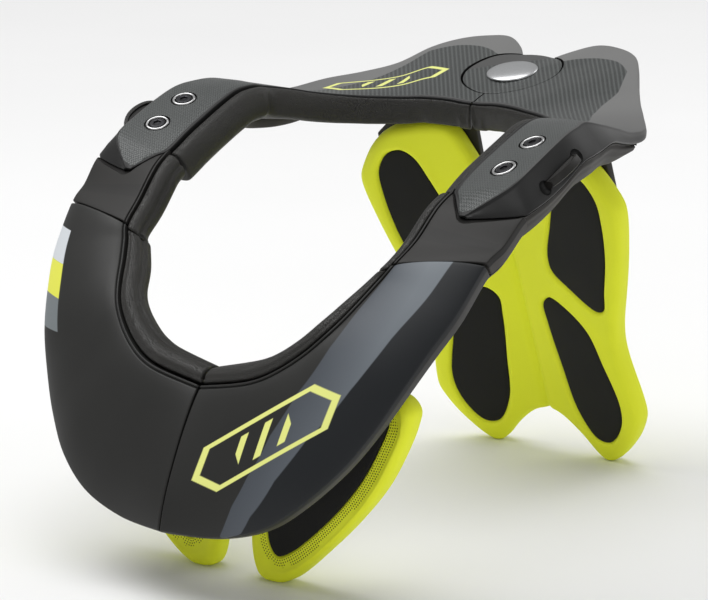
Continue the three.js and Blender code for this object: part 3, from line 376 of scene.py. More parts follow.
class Strip:
    """A smooth surface between an inner and an outer edge line, with a lower outer line."""

    def __init__(self, lines):
        self.inner, self.outer, self.low = lines

    def at(self, t):
        t = np.asarray(t, float)
        inner, outer, low = [smooth(line, t) for line in (self.inner, self.outer, self.low)]
        step = 0.05
        ahead = smooth(self.inner, t + step) + smooth(self.outer, t + step)
        behind = smooth(self.inner, t - step) + smooth(self.outer, t - step)
        along = unit(ahead - behind)
        across = unit(outer - inner)
        width = np.linalg.norm(outer - inner, axis=-1)
        return inner, outer, low, along, across, unit(np.cross(across, along)), width


RING = Strip(band_lines())
ARMS = Strip(frame_lines())


def crown(share):
    """Bulge between the two edges, as a share of its greatest height."""
    side = np.where(share < 0.55, 0.55, 0.45)
    return 1 - np.abs((share - 0.55) / side) ** 2.4


def crowned(height, first, last, count):
    """Rows of a section across its top: share, offset, height, rounding and zone."""
    return [(s, 0, height * crown(s), 0, s) for s in np.linspace(first, last, count)]


def round_corners(rings, radii, segments=4):
    """Each corner of every ring becomes an arc of that radius; columns after xyz are carried."""
    before, after = np.roll(rings, 1, 1), np.roll(rings, -1, 1)
    s = np.linspace(0, 1, segments + 1)[None, :, None]
    parts = []
    for k, radius in enumerate(radii):
        corner = rings[:, k]
        if radius == 0:
            parts.append(corner[:, None])
            continue
        ends = []
        for other in (before[:, k], after[:, k]):
            step = other - corner
            span = np.linalg.norm(step[:, :3], axis=1, keepdims=True)
            reach = np.minimum(radius, 0.45 * span) / np.maximum(span, 1e-9)
            ends.append((corner + step * reach)[:, None])
        middle = corner[:, None]
        parts.append(ends[0] * (1 - s) ** 2 + 2 * middle * s * (1 - s) + ends[1] * s**2)
    return np.concatenate(parts, 1)


def round_ends(rings, radius, segments=4):
    """The first and the last ring are drawn in along an arc, so that both ends are rounded."""
    points = rings[..., :3]
    inwards = []
    for end, beside in ((0, 1), (-1, -2)):
        side = unit(points[end] - points[beside])
        tangent = np.roll(points[end], -1, 0) - np.roll(points[end], 1, 0)
        normal = unit(np.cross(tangent, side))
        area = (np.cross(points[end], np.roll(points[end], -1, 0)).sum(0) * side.mean(0)).sum()
        inwards.append((side, normal * np.sign(area)))
    built = []
    angles = np.linspace(0, math.pi / 2, segments + 1)
    for (side, normal), ring in zip(inwards, (rings[0], rings[-1])):
        stack = []
        for angle in angles:
            moved = ring.copy()
            moved[:, :3] -= side * radius * (1 - math.sin(angle))
            moved[:, :3] -= normal * radius * (1 - math.cos(angle))
            stack.append(moved)
        built.append(stack)
    return np.array(built[0][::-1] + list(rings[1:-1]) + built[1])


def sweep(strip, section, start, end, steps):
    """Rings of a section along a strip, from row start to a row that may vary with the share."""
    share, offset, height, radius, zone = np.array(section, float).T
    width = strip.at(np.full(share.shape, float(start)))[6]
    across = share + offset / width
    last = end(across) if callable(end) else np.full(share.shape, float(end))
    f = np.linspace(0, 1, steps + 1)[:, None]
    t = start + (last - start) * f
    inner, _, _, _, out, normal, width = strip.at(t)
    points = inner + out * (share * width + offset)[..., None] + normal * height[:, None]
    zones = np.broadcast_to(zone, t.shape)
    rings = np.concatenate([points, t[..., None], zones[..., None]], -1)
    return round_corners(rings, radius)


def listed_rings(t, rows):
    """Rings from lines that run along a strip: each is its points, rounding and zone."""
    columns = [
        np.concatenate([points, t[:, None], np.full((len(t), 1), zone)], 1)
        for points, _, zone in rows
    ]
    return round_corners(np.stack(columns, 1), [radius for _, radius, _ in rows])


def ring_mesh(name, rings, centre_caps=False):
    """A closed tube through the rings, with its Zone map (row, zone) and Surface map (metres).

    A zone runs from 0 to 1 across the top, on to 2 down the outer wall and past 2 underneath.
    Below 0 it is the inner wall.
    """
    count, around = rings.shape[:2]
    points = rings[..., :3]
    index = np.arange(count * around).reshape(count, around)
    a, b = index[:-1], np.roll(index, -1, 1)[:-1]
    c, d = np.roll(index, -1, 1)[1:], index[1:]
    quads = np.stack([a, b, c, d], -1).reshape(-1, 4)
    mid = points.mean(1)
    run = np.concatenate([[0], np.cumsum(np.linalg.norm(np.diff(mid, axis=0), axis=1))])
    closed = np.concatenate([points, points[:, :1]], 1)
    girth = np.cumsum(np.linalg.norm(np.diff(closed, axis=1), axis=2), 1)
    girth = np.concatenate([np.zeros((count, 1)), girth], 1)
    zone = np.concatenate([rings[..., 4], rings[:, :1, 4] + ZONES_ROUND], 1)
    row = np.concatenate([rings[..., 3], rings[:, :1, 3]], 1)
    verts = [tuple(p) for p in points.reshape(-1, 3)]
    faces = [tuple(q) for q in quads.tolist()]
    r, k = np.divmod(np.arange((count - 1) * around), around)
    corner = [(r, k), (r, k + 1), (r + 1, k + 1), (r + 1, k)]
    zones = [np.stack([row[i], zone[i]], -1) for i in corner]
    spans = [np.stack([run[i[0]], girth[i]], -1) for i in corner]
    zone_uv = np.stack(zones, 1).reshape(-1, 2)
    span_uv = np.stack(spans, 1).reshape(-1, 2)
    for ring, order in ((0, -1), (count - 1, 1)):
        ids = index[ring][::order].tolist()
        local = np.stack([row[ring, :-1], zone[ring, :-1]], -1)[::order]
        span = np.stack([np.full(around, run[ring]), girth[ring, :-1]], -1)[::order]
        if centre_caps:
            verts.append(tuple(points[ring].mean(0)))
            middle = len(verts) - 1
            for i in range(around):
                j = (i + 1) % around
                faces.append((ids[i], ids[j], middle))
                zone_uv = np.vstack([zone_uv, local[i], local[j], local[i]])
                span_uv = np.vstack([span_uv, span[i], span[j], span[i]])
        else:
            faces.append(tuple(ids))
            zone_uv = np.vstack([zone_uv, local])
            span_uv = np.vstack([span_uv, span])
    mesh = bpy.data.meshes.new(name)
    mesh.from_pydata(verts, [], faces)
    for label, values in (("Zone", zone_uv), ("Surface", span_uv)):
        mesh.uv_layers.new(name=label).data.foreach_set("uv", values.astype(np.float32).ravel())
    return face_out(finish_mesh(name, mesh))


def finish_mesh(name, mesh):
    """A new object of a mesh, at the origin."""
    mesh.update()
    obj = bpy.data.objects.new(name, mesh)
    bpy.context.scene.collection.objects.link(obj)
    return obj


def from_bmesh(name, shape):
    """A new object of a bmesh, which is used up."""
    mesh = bpy.data.meshes.new(name)
    shape.to_mesh(mesh)
    shape.free()
    return finish_mesh(name, mesh)


def signed_volume(mesh):
    """Six times a closed mesh's volume, negative where its faces point inwards."""
    mesh.calc_loop_triangles()
    corners = np.empty(len(mesh.loop_triangles) * 3, np.int32)
    mesh.loop_triangles.foreach_get("vertices", corners)
    co = vertex_array(mesh)[corners].reshape(-1, 3, 3)
    return float(np.einsum("ij,ij->i", co[:, 0], np.cross(co[:, 1], co[:, 2])).sum())


def vertex_array(mesh):
    """Vertex places as an array of xyz rows."""
    co = np.empty(len(mesh.vertices) * 3)
    mesh.vertices.foreach_get("co", co)
    return co.reshape(-1, 3)


def face_out(obj):
    """Turns a closed piece's faces outwards."""
    if signed_volume(obj.data) < 0:
        obj.data.flip_normals()
    return obj


def mirror(obj, name):
    """The other half's copy of a piece, its faces pointing out."""
    mesh = obj.data.copy()
    mesh.transform(Matrix.Scale(-1, 4, (1, 0, 0)))
    mesh.flip_normals()
    mesh.name = name
    return finish_mesh(name, mesh)


def shade(obj, degrees=32):
    """Smooth faces with creases kept at sharp edges."""
    obj.data.polygons.foreach_set("use_smooth", [True] * len(obj.data.polygons))
    obj.data.set_sharp_from_angle(angle=math.radians(degrees))
    return obj


def evaluated_mesh(obj):
    """A new mesh of the object with its modifiers applied."""
    graph = bpy.context.evaluated_depsgraph_get()
    return bpy.data.meshes.new_from_object(obj.evaluated_get(graph), depsgraph=graph)


def bake_modifiers(obj):
    """Applies the object's modifiers to its mesh."""
    mesh = evaluated_mesh(obj)
    old = obj.data
    obj.modifiers.clear()
    obj.data = mesh
    mesh.name = obj.name
    bpy.data.meshes.remove(old)
    return obj


def subtract(obj, *tools):
    """Cuts closed tools out of a piece; the tools are used up."""
    for tool in tools:
        modifier = obj.modifiers.new("cut", "BOOLEAN")
        modifier.operation = "DIFFERENCE"
        modifier.solver = "MANIFOLD"
        modifier.object = tool
    bpy.context.view_layer.update()
    bake_modifiers(obj)
    for tool in tools:
        bpy.data.objects.remove(tool)
    if not obj.data.vertices:
        raise RuntimeError(f"nothing is left of {obj.name} after its cuts")
    return obj


def drum(origin, axis, radius, low, high, sides=96):
    """A closed cylinder about an axis, between two heights along it."""
    axis = Vector(axis).normalized()
    turn = axis.to_track_quat("Z", "Y").to_matrix().to_4x4()
    shape = bmesh.new()
    bmesh.ops.create_cone(
        shape, cap_ends=True, segments=sides, radius1=radius, radius2=radius, depth=high - low
    )
    shape.transform(Matrix.Translation((0, 0, (low + high) / 2)))
    shape.transform(Matrix.Translation(Vector(origin)) @ turn)
    return from_bmesh("drum", shape)


def ball(centre, radius):
    """A closed sphere."""
    shape = bmesh.new()
    bmesh.ops.create_icosphere(shape, subdivisions=4, radius=radius)
    shape.transform(Matrix.Translation(Vector(centre)))
    return from_bmesh("ball", shape)


def block(low, high):
    """A closed box between two corners."""
    shape = bmesh.new()
    bmesh.ops.create_cube(shape, size=1)
    size = Vector(high) - Vector(low)
    shape.transform(Matrix.Diagonal(size).to_4x4())
    shape.transform(Matrix.Translation((Vector(high) + Vector(low)) / 2))
    return from_bmesh("block", shape)


def other_half():
    """What a left piece may not fill: the seam and all beyond it."""
    return block((-FAR, -FAR, 0), (SEAM, FAR, FAR))


def hub_room(low, high):
    """The room of the hub under the pivot's disc, between two heights along the pivot."""
    return drum(PIVOT, PIVOT_AXIS, HUB_RADIUS + HUB_SEAM, low, high)


def lever_bore():
    """The room of the release lever's barrel."""
    half = LEVER_LENGTH / 2
    return drum(LEVER_PIN, LEVER_ALONG, LEVER_THICK / 2 + GAP, -half, half, 48)


def keep_seam(rings, gap=SEAM):
    """The first ring lies in the seam between the two halves."""
    rings[0, :, 0] = gap
    return rings


def place_piece(obj, body, slot, material, *nodes):
    """Gives a piece its material, hangs it on its body and hides the frame's nodes that it
    replaces.
    """
    obj.data.materials.clear()
    obj.data.materials.append(material)
    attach(obj, body)
    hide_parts(*nodes)
    return obj


def place_pair(left, stem, slot, material, bodies=("left_half", "right_half")):
    left.name = stem + "_left_look"
    right = mirror(left, stem + "_right_look")
    for obj, side, body in zip((left, right), ("left", "right"), bodies):
        place_piece(obj, body, slot, material, f"{stem}_{side}")
    return right


# Shader nodes


def maths(operation, flipped=False):
    """A method that adds one Math node for an expression on values."""

    def method(self, *others):
        values = (*others, self) if flipped else (self, *others)
        made = self.make.node("ShaderNodeMath", {"operation": operation}, dict(enumerate(values)))
        return Value(self.make, made.outputs[0])

    return method


class Value:
    """A socket that carries a number through arithmetic."""

    def __init__(self, make, socket):
        self.make, self.socket = make, socket

    __add__ = maths("ADD")
    __radd__ = maths("ADD", flipped=True)
    __sub__ = maths("SUBTRACT")
    __rsub__ = maths("SUBTRACT", flipped=True)
    __mul__ = maths("MULTIPLY")
    __rmul__ = maths("MULTIPLY", flipped=True)
    __truediv__ = maths("DIVIDE")
    __mod__ = maths("FLOORED_MODULO")
    floor = maths("FLOOR")
    sine = maths("SINE")
    size = maths("ABSOLUTE")
    least = maths("MINIMUM")
    most = maths("MAXIMUM")

    def clamped(self):
        made = self.make.node("ShaderNodeClamp", {}, {0: self})
        return Value(self.make, made.outputs[0])


class Finish:
    """A material's nodes, made by one method and joined to its Principled shader."""

    def __init__(self, name, **uniform):
        self.material = bpy.data.materials.new(name)
        self.material.use_nodes = True
        self.tree = self.material.node_tree
        self.shader = self.tree.nodes["Principled BSDF"]
        uniform.setdefault("Specular_IOR_Level", 0.28)
        for key, value in uniform.items():
            self.shader.inputs[key.replace("_", " ")].default_value = value

    def node(self, kind, settings=None, inputs=None):
        made = self.tree.nodes.new(kind)
        for key, value in (settings or {}).items():
            if key == "stops":
                ramp = made.color_ramp
                while len(ramp.elements) < len(value):
                    ramp.elements.new(0.5)
                for element, (position, shade_value) in zip(ramp.elements, value):
                    element.position = position
                    element.color = (*shade_value, 1)
            else:
                setattr(made, key, value)
        for key, value in (inputs or {}).items():
            self.feed(made.inputs[key], value)
        return made

    def feed(self, socket, value):
        if isinstance(value, Value):
            value = value.socket
        if isinstance(value, bpy.types.NodeSocket):
            self.tree.links.new(value, socket)
        elif hasattr(value, "__len__") and socket.type == "RGBA" and len(value) == 3:
            socket.default_value = (*value, 1)
        else:
            socket.default_value = value

    def value(self, socket):
        return Value(self, socket)

    def place(self):
        return self.node("ShaderNodeTexCoord").outputs["Object"]

    def split(self, vector):
        made = self.node("ShaderNodeSeparateXYZ", {}, {0: vector})
        return [self.value(made.outputs[k]) for k in range(3)]

    def uv(self, name):
        return self.split(self.node("ShaderNodeUVMap", {"uv_map": name}).outputs[0])[:2]

    def noise(self, scale, detail=3.0, rough=0.5):
        inputs = {"Vector": self.place(), "Scale": scale, "Detail": detail, "Roughness": rough}
        return self.value(self.node("ShaderNodeTexNoise", {}, inputs).outputs[0])

    def cells(self, scale):
        """Distance from the creases between cells."""
        inputs = {"Vector": self.place(), "Scale": scale}
        made = self.node("ShaderNodeTexVoronoi", {"feature": "DISTANCE_TO_EDGE"}, inputs)
        return self.value(made.outputs["Distance"])

    def mix(self, factor, first, second):
        made = self.node("ShaderNodeMix", {"data_type": "RGBA", "clamp_factor": True}, {0: factor})
        self.feed(made.inputs[6], first)
        self.feed(made.inputs[7], second)
        return made.outputs[2]

    def curve(self, value, first, last, stops):
        """Reads a table of (position, number) along a value between first and last."""
        scaled = (value - first) / (last - first)
        ramp = [((p - first) / (last - first), (n, n, n)) for p, n in stops]
        made = self.node("ShaderNodeValToRGB", {"stops": ramp}, {0: scaled})
        return self.value(made.outputs[0])

    def edge(self, value, soft):
        """0 below 0 and 1 above it, over a width of soft."""
        return (value / soft + 0.5).clamped()

    def colour(self, value):
        self.feed(self.shader.inputs["Base Color"], value)

    def coloured(self):
        """The colour that feeds the shader so far."""
        return self.shader.inputs["Base Color"].links[0].from_socket

    def rough(self, value):
        self.feed(self.shader.inputs["Roughness"], value)

    def bump(self, *heights):
        """Each height is a value and its depth in metres."""
        normal = None
        for value, depth in heights:
            inputs = {"Height": value, "Distance": depth, "Strength": 1.0}
            if normal is not None:
                inputs["Normal"] = normal
            normal = self.node("ShaderNodeBump", {}, inputs).outputs[0]
        self.feed(self.shader.inputs["Normal"], normal)


def finish(maker):
    """Each finish is made once, on first use."""

    @functools.cache
    def made():
        return maker().material

    return made


def moulded(name, base, rough, grain=0.5, scale=2600):
    """Satin moulded plastic: fine texture, slightly uneven gloss and colour."""
    made = Finish(name, Roughness=rough)
    fine = made.noise(scale, 4, 0.6)
    broad = made.noise(28, 2)
    made.colour(made.mix(broad, darker(base, 0.86), darker(base, 1.16)))
    made.rough(rough - 0.05 + 0.08 * fine + 0.05 * broad)
    made.bump((fine, grain * 0.05 * MM))
    return made


def wing_figure():
    """Middle and direction, seen from above, of the right wing's outlined figure."""
    ends = []
    for row, share in ((12.6, 0.5), (16.6, 0.45)):
        inner, outer, *_ = ARMS.at(row)
        ends.append((inner + (outer - inner) * share) * (-1, 1, 1))
    middle = (ends[0] + ends[1]) / 2
    run = ends[1] - ends[0]
    return (middle[0], middle[1]), math.degrees(math.atan2(run[1], run[0]))


def along_row(made, rows, column, row):
    """A table's column, read at the surface's row."""
    stops = list(zip(rows["row"], rows[column] / 2))
    return 2 * made.curve(row, rows["row"][0], rows["row"][-1], stops)


@finish
def shell_plain():
    made = moulded("shell satin, right", tuple(colours().shell), 0.42, 0.4)
    row, zone = made.uv("Zone")
    made.colour(edge_label(made, made.coloured(), row, zone))
    return made


@finish
def shell_striped():
    """The left shell: a grey stripe, the dark field outside it and the outlined figure."""
    tone = colours()
    made = moulded("shell satin, left", tuple(tone.shell), 0.42, 0.4)
    row, zone = made.uv("Zone")
    base = made.coloured()
    inner_line = along_row(made, STRIPE, "inner", row)
    inner = made.edge(zone - inner_line, PRINT_SOFT)
    outer = made.edge(zone - along_row(made, STRIPE, "outer", row), PRINT_SOFT)
    after = made.edge(row - STRIPE["row"][0], 0.02)
    run = ((row - 1) / (LINK_START - 1)).clamped()
    grey = made.mix(run, tone.stripe_low, tone.stripe_high)
    fade = ((zone - inner_line) * 2.2).clamped()
    lit = made.mix(fade, darker(tone.stripe_low, 0.75), grey)
    shown = made.mix(inner * after, base, lit)
    shown = made.mix(outer * after, shown, tone.stripe_dark)
    u, v = turned_place(made, SHELL_FIGURE, SHELL_FIGURE_TURN)
    figure = outlined_figure(made, u, v, 44 * MM, 11.5 * MM) * on_top(made, zone)
    shown = made.mix(figure, shown, tone.accent)
    made.colour(side_wall(made, shown, zone, 0.5))
    return made


def on_top(made, zone):
    """1 on a cover's top face, 0 on its outer wall."""
    return made.edge(0.98 - zone, 0.01)


def turned_place(made, centre, degrees, level=2):
    """Two lengths along and across a line through a centre, seen from the front or from above."""
    place = made.split(made.place())
    cos, sin = math.cos(math.radians(degrees)), math.sin(math.radians(degrees))
    over, up = place[0] - centre[0], place[level] - centre[1]
    return over * cos + up * sin, up * cos - over * sin


def outlined_figure(made, u, v, long, tall):
    """A generic outlined hexagon with slanted bars inside it."""
    reach_u, reach_v = u.size() / long, v.size() / tall
    inside_of = reach_v.most(reach_u * 1.6 + reach_v * 0.4 - 0.6)
    line = made.edge(1 - inside_of, 0.03) * (1 - made.edge(0.82 - inside_of, 0.03))
    step = long / 3
    slant = (u - v * 0.9 + step / 2) % step - step / 2
    bars = made.edge(step * 0.16 - slant.size(), step * 0.03) * made.edge(0.58 - reach_v, 0.04)
    middle = made.edge(long * 0.38 - u.size(), 0.5 * MM)
    return (line + bars * middle).clamped()


def edge_label(made, base, row, zone):
    """Three plain bands along the outer edge: white, yellow and grey, with slanted ends."""
    slant = zone.least(1.0) - 0.76
    within = made.edge(zone - 0.755, 0.01) * made.edge(1.9 - zone, 0.01)
    over = [made.edge(row - (start + slant * slope), 0.015) for start, slope in LABEL_ENDS]
    shown = base
    for top, bottom, tint in zip(over, over[1:], LABEL_TINTS):
        shown = made.mix((1 - top) * bottom * within, shown, tint)
    return shown


@finish
def link_plastic():
    """The side link, with a darker slanted band across it."""
    made = moulded("link satin", tuple(colours().link), 0.5, 0.5)
    base = made.coloured()
    row, zone = made.uv("Zone")
    slant = row + zone * 0.5
    start, end = LINK_BAND
    band = made.edge(slant - start, 0.02) * made.edge(end - slant, 0.02)
    band = band * made.edge(0.95 - zone, 0.02)
    top = made.mix(band * 0.55, base, darker(colours().link, 0.55))
    made.colour(side_wall(made, top, zone, 1.0))
    return made


def side_wall(made, top, zone, strength):
    """The turned-down wall of a cover: a near-black line below the edge as painted shade of the
    gap, then the liner's tone.
    """
    wall = made.edge(zone - 1.34, 0.03) * strength
    line = made.edge(0.05 - (zone - 1.3).size(), 0.02)
    return made.mix(line, made.mix(wall, top, darker(colours().liner, 1.7)), PAINTED_GAP_SHADE)


@finish
def lever_plastic():
    return moulded("lever satin", tuple(colours().link), 0.45, 0.5)


@finish
def liner_plastic():
    return moulded("liner moulding", tuple(colours().liner), 0.58, 1.0, 1900)


def carbon(name):
    """Carbon under lacquer: woven on the arm, ribbed on the wings. Gives its weave and colour."""
    size, tone = sizes(), colours()
    made = Finish(name, Roughness=0.36)
    x, y, _ = made.split(made.place())
    cos, sin = math.cos(VIEW_AZIMUTH), math.sin(VIEW_AZIMUTH)
    u, v = x * cos + y * sin, y * cos - x * sin
    cell_u, cell_v = u / size.weave, v / size.weave
    checker = (cell_u.floor() + cell_v.floor()) % 2
    tow_u = (cell_u * math.pi).sine().size()
    tow_v = (cell_v * math.pi).sine().size()
    tow = tow_u * checker + tow_v * (1 - checker)
    rib = (u / size.rib * 2 * math.pi).sine() * 0.5 + 0.5
    on_wing = made.edge(y - (NECK_Y + 62 * MM), 20 * MM)
    weave = tow * (1 - on_wing * 0.7) + rib * on_wing * 0.7
    shown = (weave * 0.8 + made.noise(900, 3, 0.6) * 0.3).clamped()
    return made, v, weave, made.mix(shown, darker(tone.carbon, 0.06), darker(tone.carbon, 3.2))


def satin_rim(made):
    """Moulded satin round the carbon, slightly uneven."""
    tone = colours()
    return made.mix(made.noise(22, 2), darker(tone.satin, 0.85), darker(tone.satin, 1.2))


def lacquer(made, inlay, weave, shown):
    """Gloss and relief: the weave stands under lacquer on the inlay, a fine grain off it."""
    fine = made.noise(2400, 4, 0.6)
    made.colour(shown)
    made.rough(0.42 - 0.1 * inlay + 0.06 * fine)
    made.bump((weave * inlay, 0.12 * MM), (fine * (1 - inlay), 0.02 * MM))
    made.shader.inputs["Coat Roughness"].default_value = 0.25
    made.feed(made.shader.inputs["Coat Weight"], 0.12 * inlay)
    return made


def arm_finish(name, figured):
    """The arm's inlay of carbon, its dark tip and side walls, a painted shade along its inner edge,
    and the wing's rims lightened by a painted highlight.
    """
    tone = colours()
    made, _, weave, woven = carbon(name)
    rim = satin_rim(made)
    row, zone = made.uv("Zone")
    tip = made.edge(row - 0.35 - (zone - 0.4).size() * 0.45, 0.03)
    inlay = made.edge(along_row(made, INLAY, "share", row) - zone, 0.008)
    inlay = inlay * made.edge(zone - 0.045, 0.008) * tip
    side = made.edge(zone - 1.04, 0.01) * made.edge(2.02 - zone, 0.01)
    arm = 1 - made.edge(row - 8.5, 1.2)
    # Painted shade: the inner edge is darkened as the shade of the gap beside the foam.
    inner = 1 - made.edge(zone - 0.03, 0.01)
    rim = made.mix((side * arm).most(inner).clamped(), rim, darker(tone.satin, 0.22))
    rim = made.mix(1 - made.edge(row - 3.2, 0.6), rim, darker(tone.satin, 0.16))
    # Painted highlight: the satin on the wing's rear corners is lightened as if it caught the
    # light.
    rear = made.edge(row - 11.5, 5) * made.edge(1.5 - zone, 0.4) * made.edge(zone - 0.2, 0.1)
    rim = made.mix(rear, rim, darker(tone.satin, 2.3))
    shown = made.mix(inlay, rim, woven)
    if figured:
        centre, degrees = wing_figure()
        across, up = turned_place(made, centre, degrees, level=1)
        figure = outlined_figure(made, across, up, 36 * MM, 8.5 * MM) * on_top(made, zone)
        shown = made.mix(figure, shown, tone.accent)
    return lacquer(made, inlay, weave, shown)


@finish
def carbon_satin():
    return arm_finish("carbon inlay, left", False)


@finish
def carbon_figured():
    return arm_finish("carbon inlay, right", True)


@finish
def carbon_disc():
    """Ribbed carbon with a satin band along the disc's rear edge."""
    made, v, weave, woven = carbon("carbon disc")
    inlay = 1 - made.edge(v - DISC_REAR, 0.6 * MM)
    return lacquer(made, inlay, weave, made.mix(inlay, satin_rim(made), woven))


@finish
def leather():
    """Fine leather grain: cells with creases, their tops painted lighter as highlight and the
    creases painted darker as shade.
    """
    made = Finish("foam leather grain", Roughness=0.5, Specular_IOR_Level=0.5)
    base = tuple(colours().foam)
    top = (made.cells(1000) * 9).clamped()
    warp = made.noise(420, 3)
    broad = made.noise(35, 2)
    # Painted highlight on the grain's cell tops and painted shade in its creases, mixed with a
    # broad random tone.
    grain_highlight_and_tone = (top * 0.55 + broad * 0.3).clamped()
    made.colour(made.mix(grain_highlight_and_tone, darker(base, 0.25), darker(base, 1.5)))
    made.rough(0.56 - 0.14 * top + 0.08 * warp)
    made.bump((top, 0.3 * MM), (warp, 0.25 * MM))
    return made


@finish
def yellow_foam():
    """Moulded foam skin: fine pebble, slightly darker in the hollows as painted shade, and a faint
    painted glow.
    """
    made = Finish("fluorescent foam", Roughness=0.6)
    base = tuple(colours().pad)
    pebble = made.noise(1500, 3, 0.55)
    broad = made.noise(16, 2)
    # Broad random tone, plus painted shade: the pebble's hollows are slightly darker.
    tint = (broad * 0.7 + pebble * 0.3).clamped()
    made.colour(made.mix(tint, darker(base, 0.88), darker(base, 1.1)))
    made.rough(0.56 + 0.12 * pebble)
    made.bump((pebble, 0.05 * MM))
    # Painted glow: a faint emission in the pad's own colour brightens it without any lamp.
    made.shader.inputs["Emission Color"].default_value = (*base, 1)
    made.shader.inputs["Emission Strength"].default_value = 0.03
    return made


@finish
def brushed_textile():
    """Short brushed pile with a faint knit below it."""
    made = Finish("brushed textile", Roughness=0.85)
    base = tuple(colours().insert)
    pile = made.noise(1700, 4, 0.7)
    broad = made.noise(40, 3)
    tint = (pile * 0.6 + broad * 0.4).clamped()
    made.colour(made.mix(tint, darker(base, 0.55), darker(base, 1.7)))
    made.bump((pile, 0.08 * MM))
    made.shader.inputs["Sheen Weight"].default_value = 0.05
    return made


@finish
def hole_dark():
    """The shaded inside of a perforation."""
    made = Finish("perforation", Roughness=0.8)
    base = tuple(colours().pad)
    made.colour(made.mix(made.noise(900, 2), darker(base, 0.12), darker(base, 0.3)))
    return made


def metal(name, base, rough, brushed):
    """Bare metal with a fine brushed grain that varies its gloss."""
    made = Finish(name, Metallic=1.0, Roughness=rough)
    fine = made.noise(3200, 3, 0.6)
    made.colour(made.mix(fine, darker(base, 0.85), darker(base, 1.1)))
    made.rough(rough + brushed * (fine - 0.5))
    made.bump((fine, 0.01 * MM))
    return made


@finish
def bright_ring():
    return metal("bright ring", SLOTS["chrome"], 0.22, 0.15)


@finish
def black_steel():
    return metal("blackened steel", darker(SLOTS["steel"], 1.6), 0.36, 0.2)


@finish
def badge_metal():
    return metal("badge metal", (0.62, 0.63, 0.64), 0.3, 0.2)


# Front shell, side link and stiffener


def cover_section(crown_height):
    """A moulded cover: double lip along the inner edge, crown and turned-down rim."""
    top = crowned(crown_height, 0.09, 0.95, 16)
    return [
        (0, WALL, -WALL, 0, -1.4),
        (0, WALL, -LIP, 0.0006, -1.2),
        (0, 0, -LIP, 0.0006, -1),
        (0, 0, 0.1 * MM, 0.0007, -0.2),
        (0, 1.1 * MM, 0.15 * MM, 0.0004, -0.1),
        (0, 1.4 * MM, -0.8 * MM, 0.0002, -0.06),
        (0, 1.8 * MM, -0.8 * MM, 0.0002, -0.04),
        (0, 2.2 * MM, 0.3 * MM, 0.0005, 0.0),
        *top,
        (1, -0.4 * MM, 0, 0.0006, 1),
        (1, 0, -3 * MM, 0.0012, 1.3),
        (1, -0.4 * MM, -RIM, 0.0006, 1.8),
        (1, -WALL, -RIM, 0.0006, 2),
        (1, -WALL, -WALL, 0, 2.3),
        (0.6, 0, crown_height - WALL, 0, 2.5),
        (0.3, 0, 0.8 * crown_height - WALL, 0, 2.6),
    ]


def front_shell():
    section = cover_section(sizes().shell_crown)
    rings = keep_seam(sweep(RING, section, 0, LINK_START - ROW_GAP, 110))
    return shade(ring_mesh("front_shell", round_ends(rings, sizes().edge_round)))


def link_end(share):
    """The row where the link meets the arm's pointed outline, seen from above, less a gap."""
    t = np.linspace(0, 3.6, 60)
    inner, _, low, *_ = ARMS.at(t)
    outline = np.concatenate([inner[::-1], low])
    order = np.argsort(outline[:, 0])
    rows = np.linspace(LINER_END - 0.8, len(BAND["in_x"]) - 1.02, 240)
    near, far = RING.at(rows)[:2]
    ends = []
    for s in np.clip(np.atleast_1d(share), 0, 1):
        line = near + (far - near) * s
        limit = np.interp(line[:, 0], outline[order, 0], outline[order, 1]) - LINK_SEAM
        clear = rows[line[:, 1] < limit]
        ends.append(clear[-1] if len(clear) else rows[0])
    return np.array(ends).reshape(np.shape(share))


def side_link():
    section = cover_section(sizes().link_crown)
    rings = sweep(RING, section, LINK_START + ROW_GAP, link_end, 44)
    return shade(ring_mesh("side_link", round_ends(rings, sizes().edge_round)))


def shell_liner():
    """The stiffener under the shell and link, with a stepped foot along its outer edge."""
    drop = sizes().link_crown - WALL - 1 * MM
    section = [
        (0.45, 0, -LINER_DEEP, 0, 3),
        (0.3, 0, -LINER_DEEP, 0, 3.2),
        (0, WALL + GAP, -LINER_DEEP, 0.001, 3.4),
        (0, WALL + GAP, -WALL - GAP, 0.001, 3.5),
        (0.3, 0, drop, 0, 0.3),
        (0.6, 0, drop, 0, 0.6),
        (1, -WALL - 1 * MM, -WALL - 1 * MM, 0.001, 1),
        (1, -WALL - 1 * MM, -RIM - 1 * MM, 0.0003, 1.2),
        (1, -1.5 * MM, -RIM - 1 * MM, 0.0006, 1.4),
        (1, -2.2 * MM, -RIM - 2.2 * MM, 0.0006, 1.6),
        (1, -4 * MM, -RIM - 4 * MM, 0.0012, 1.8),
        (0.7, 0, -LINER_DEEP, 0.003, 2.4),
    ]
    rings = keep_seam(sweep(RING, section, 0, LINER_END, 90), LINER_SEAM)
    return shade(ring_mesh("shell_liner", round_ends(rings, 0.5 * MM)))


# Arm, rear wing and housing


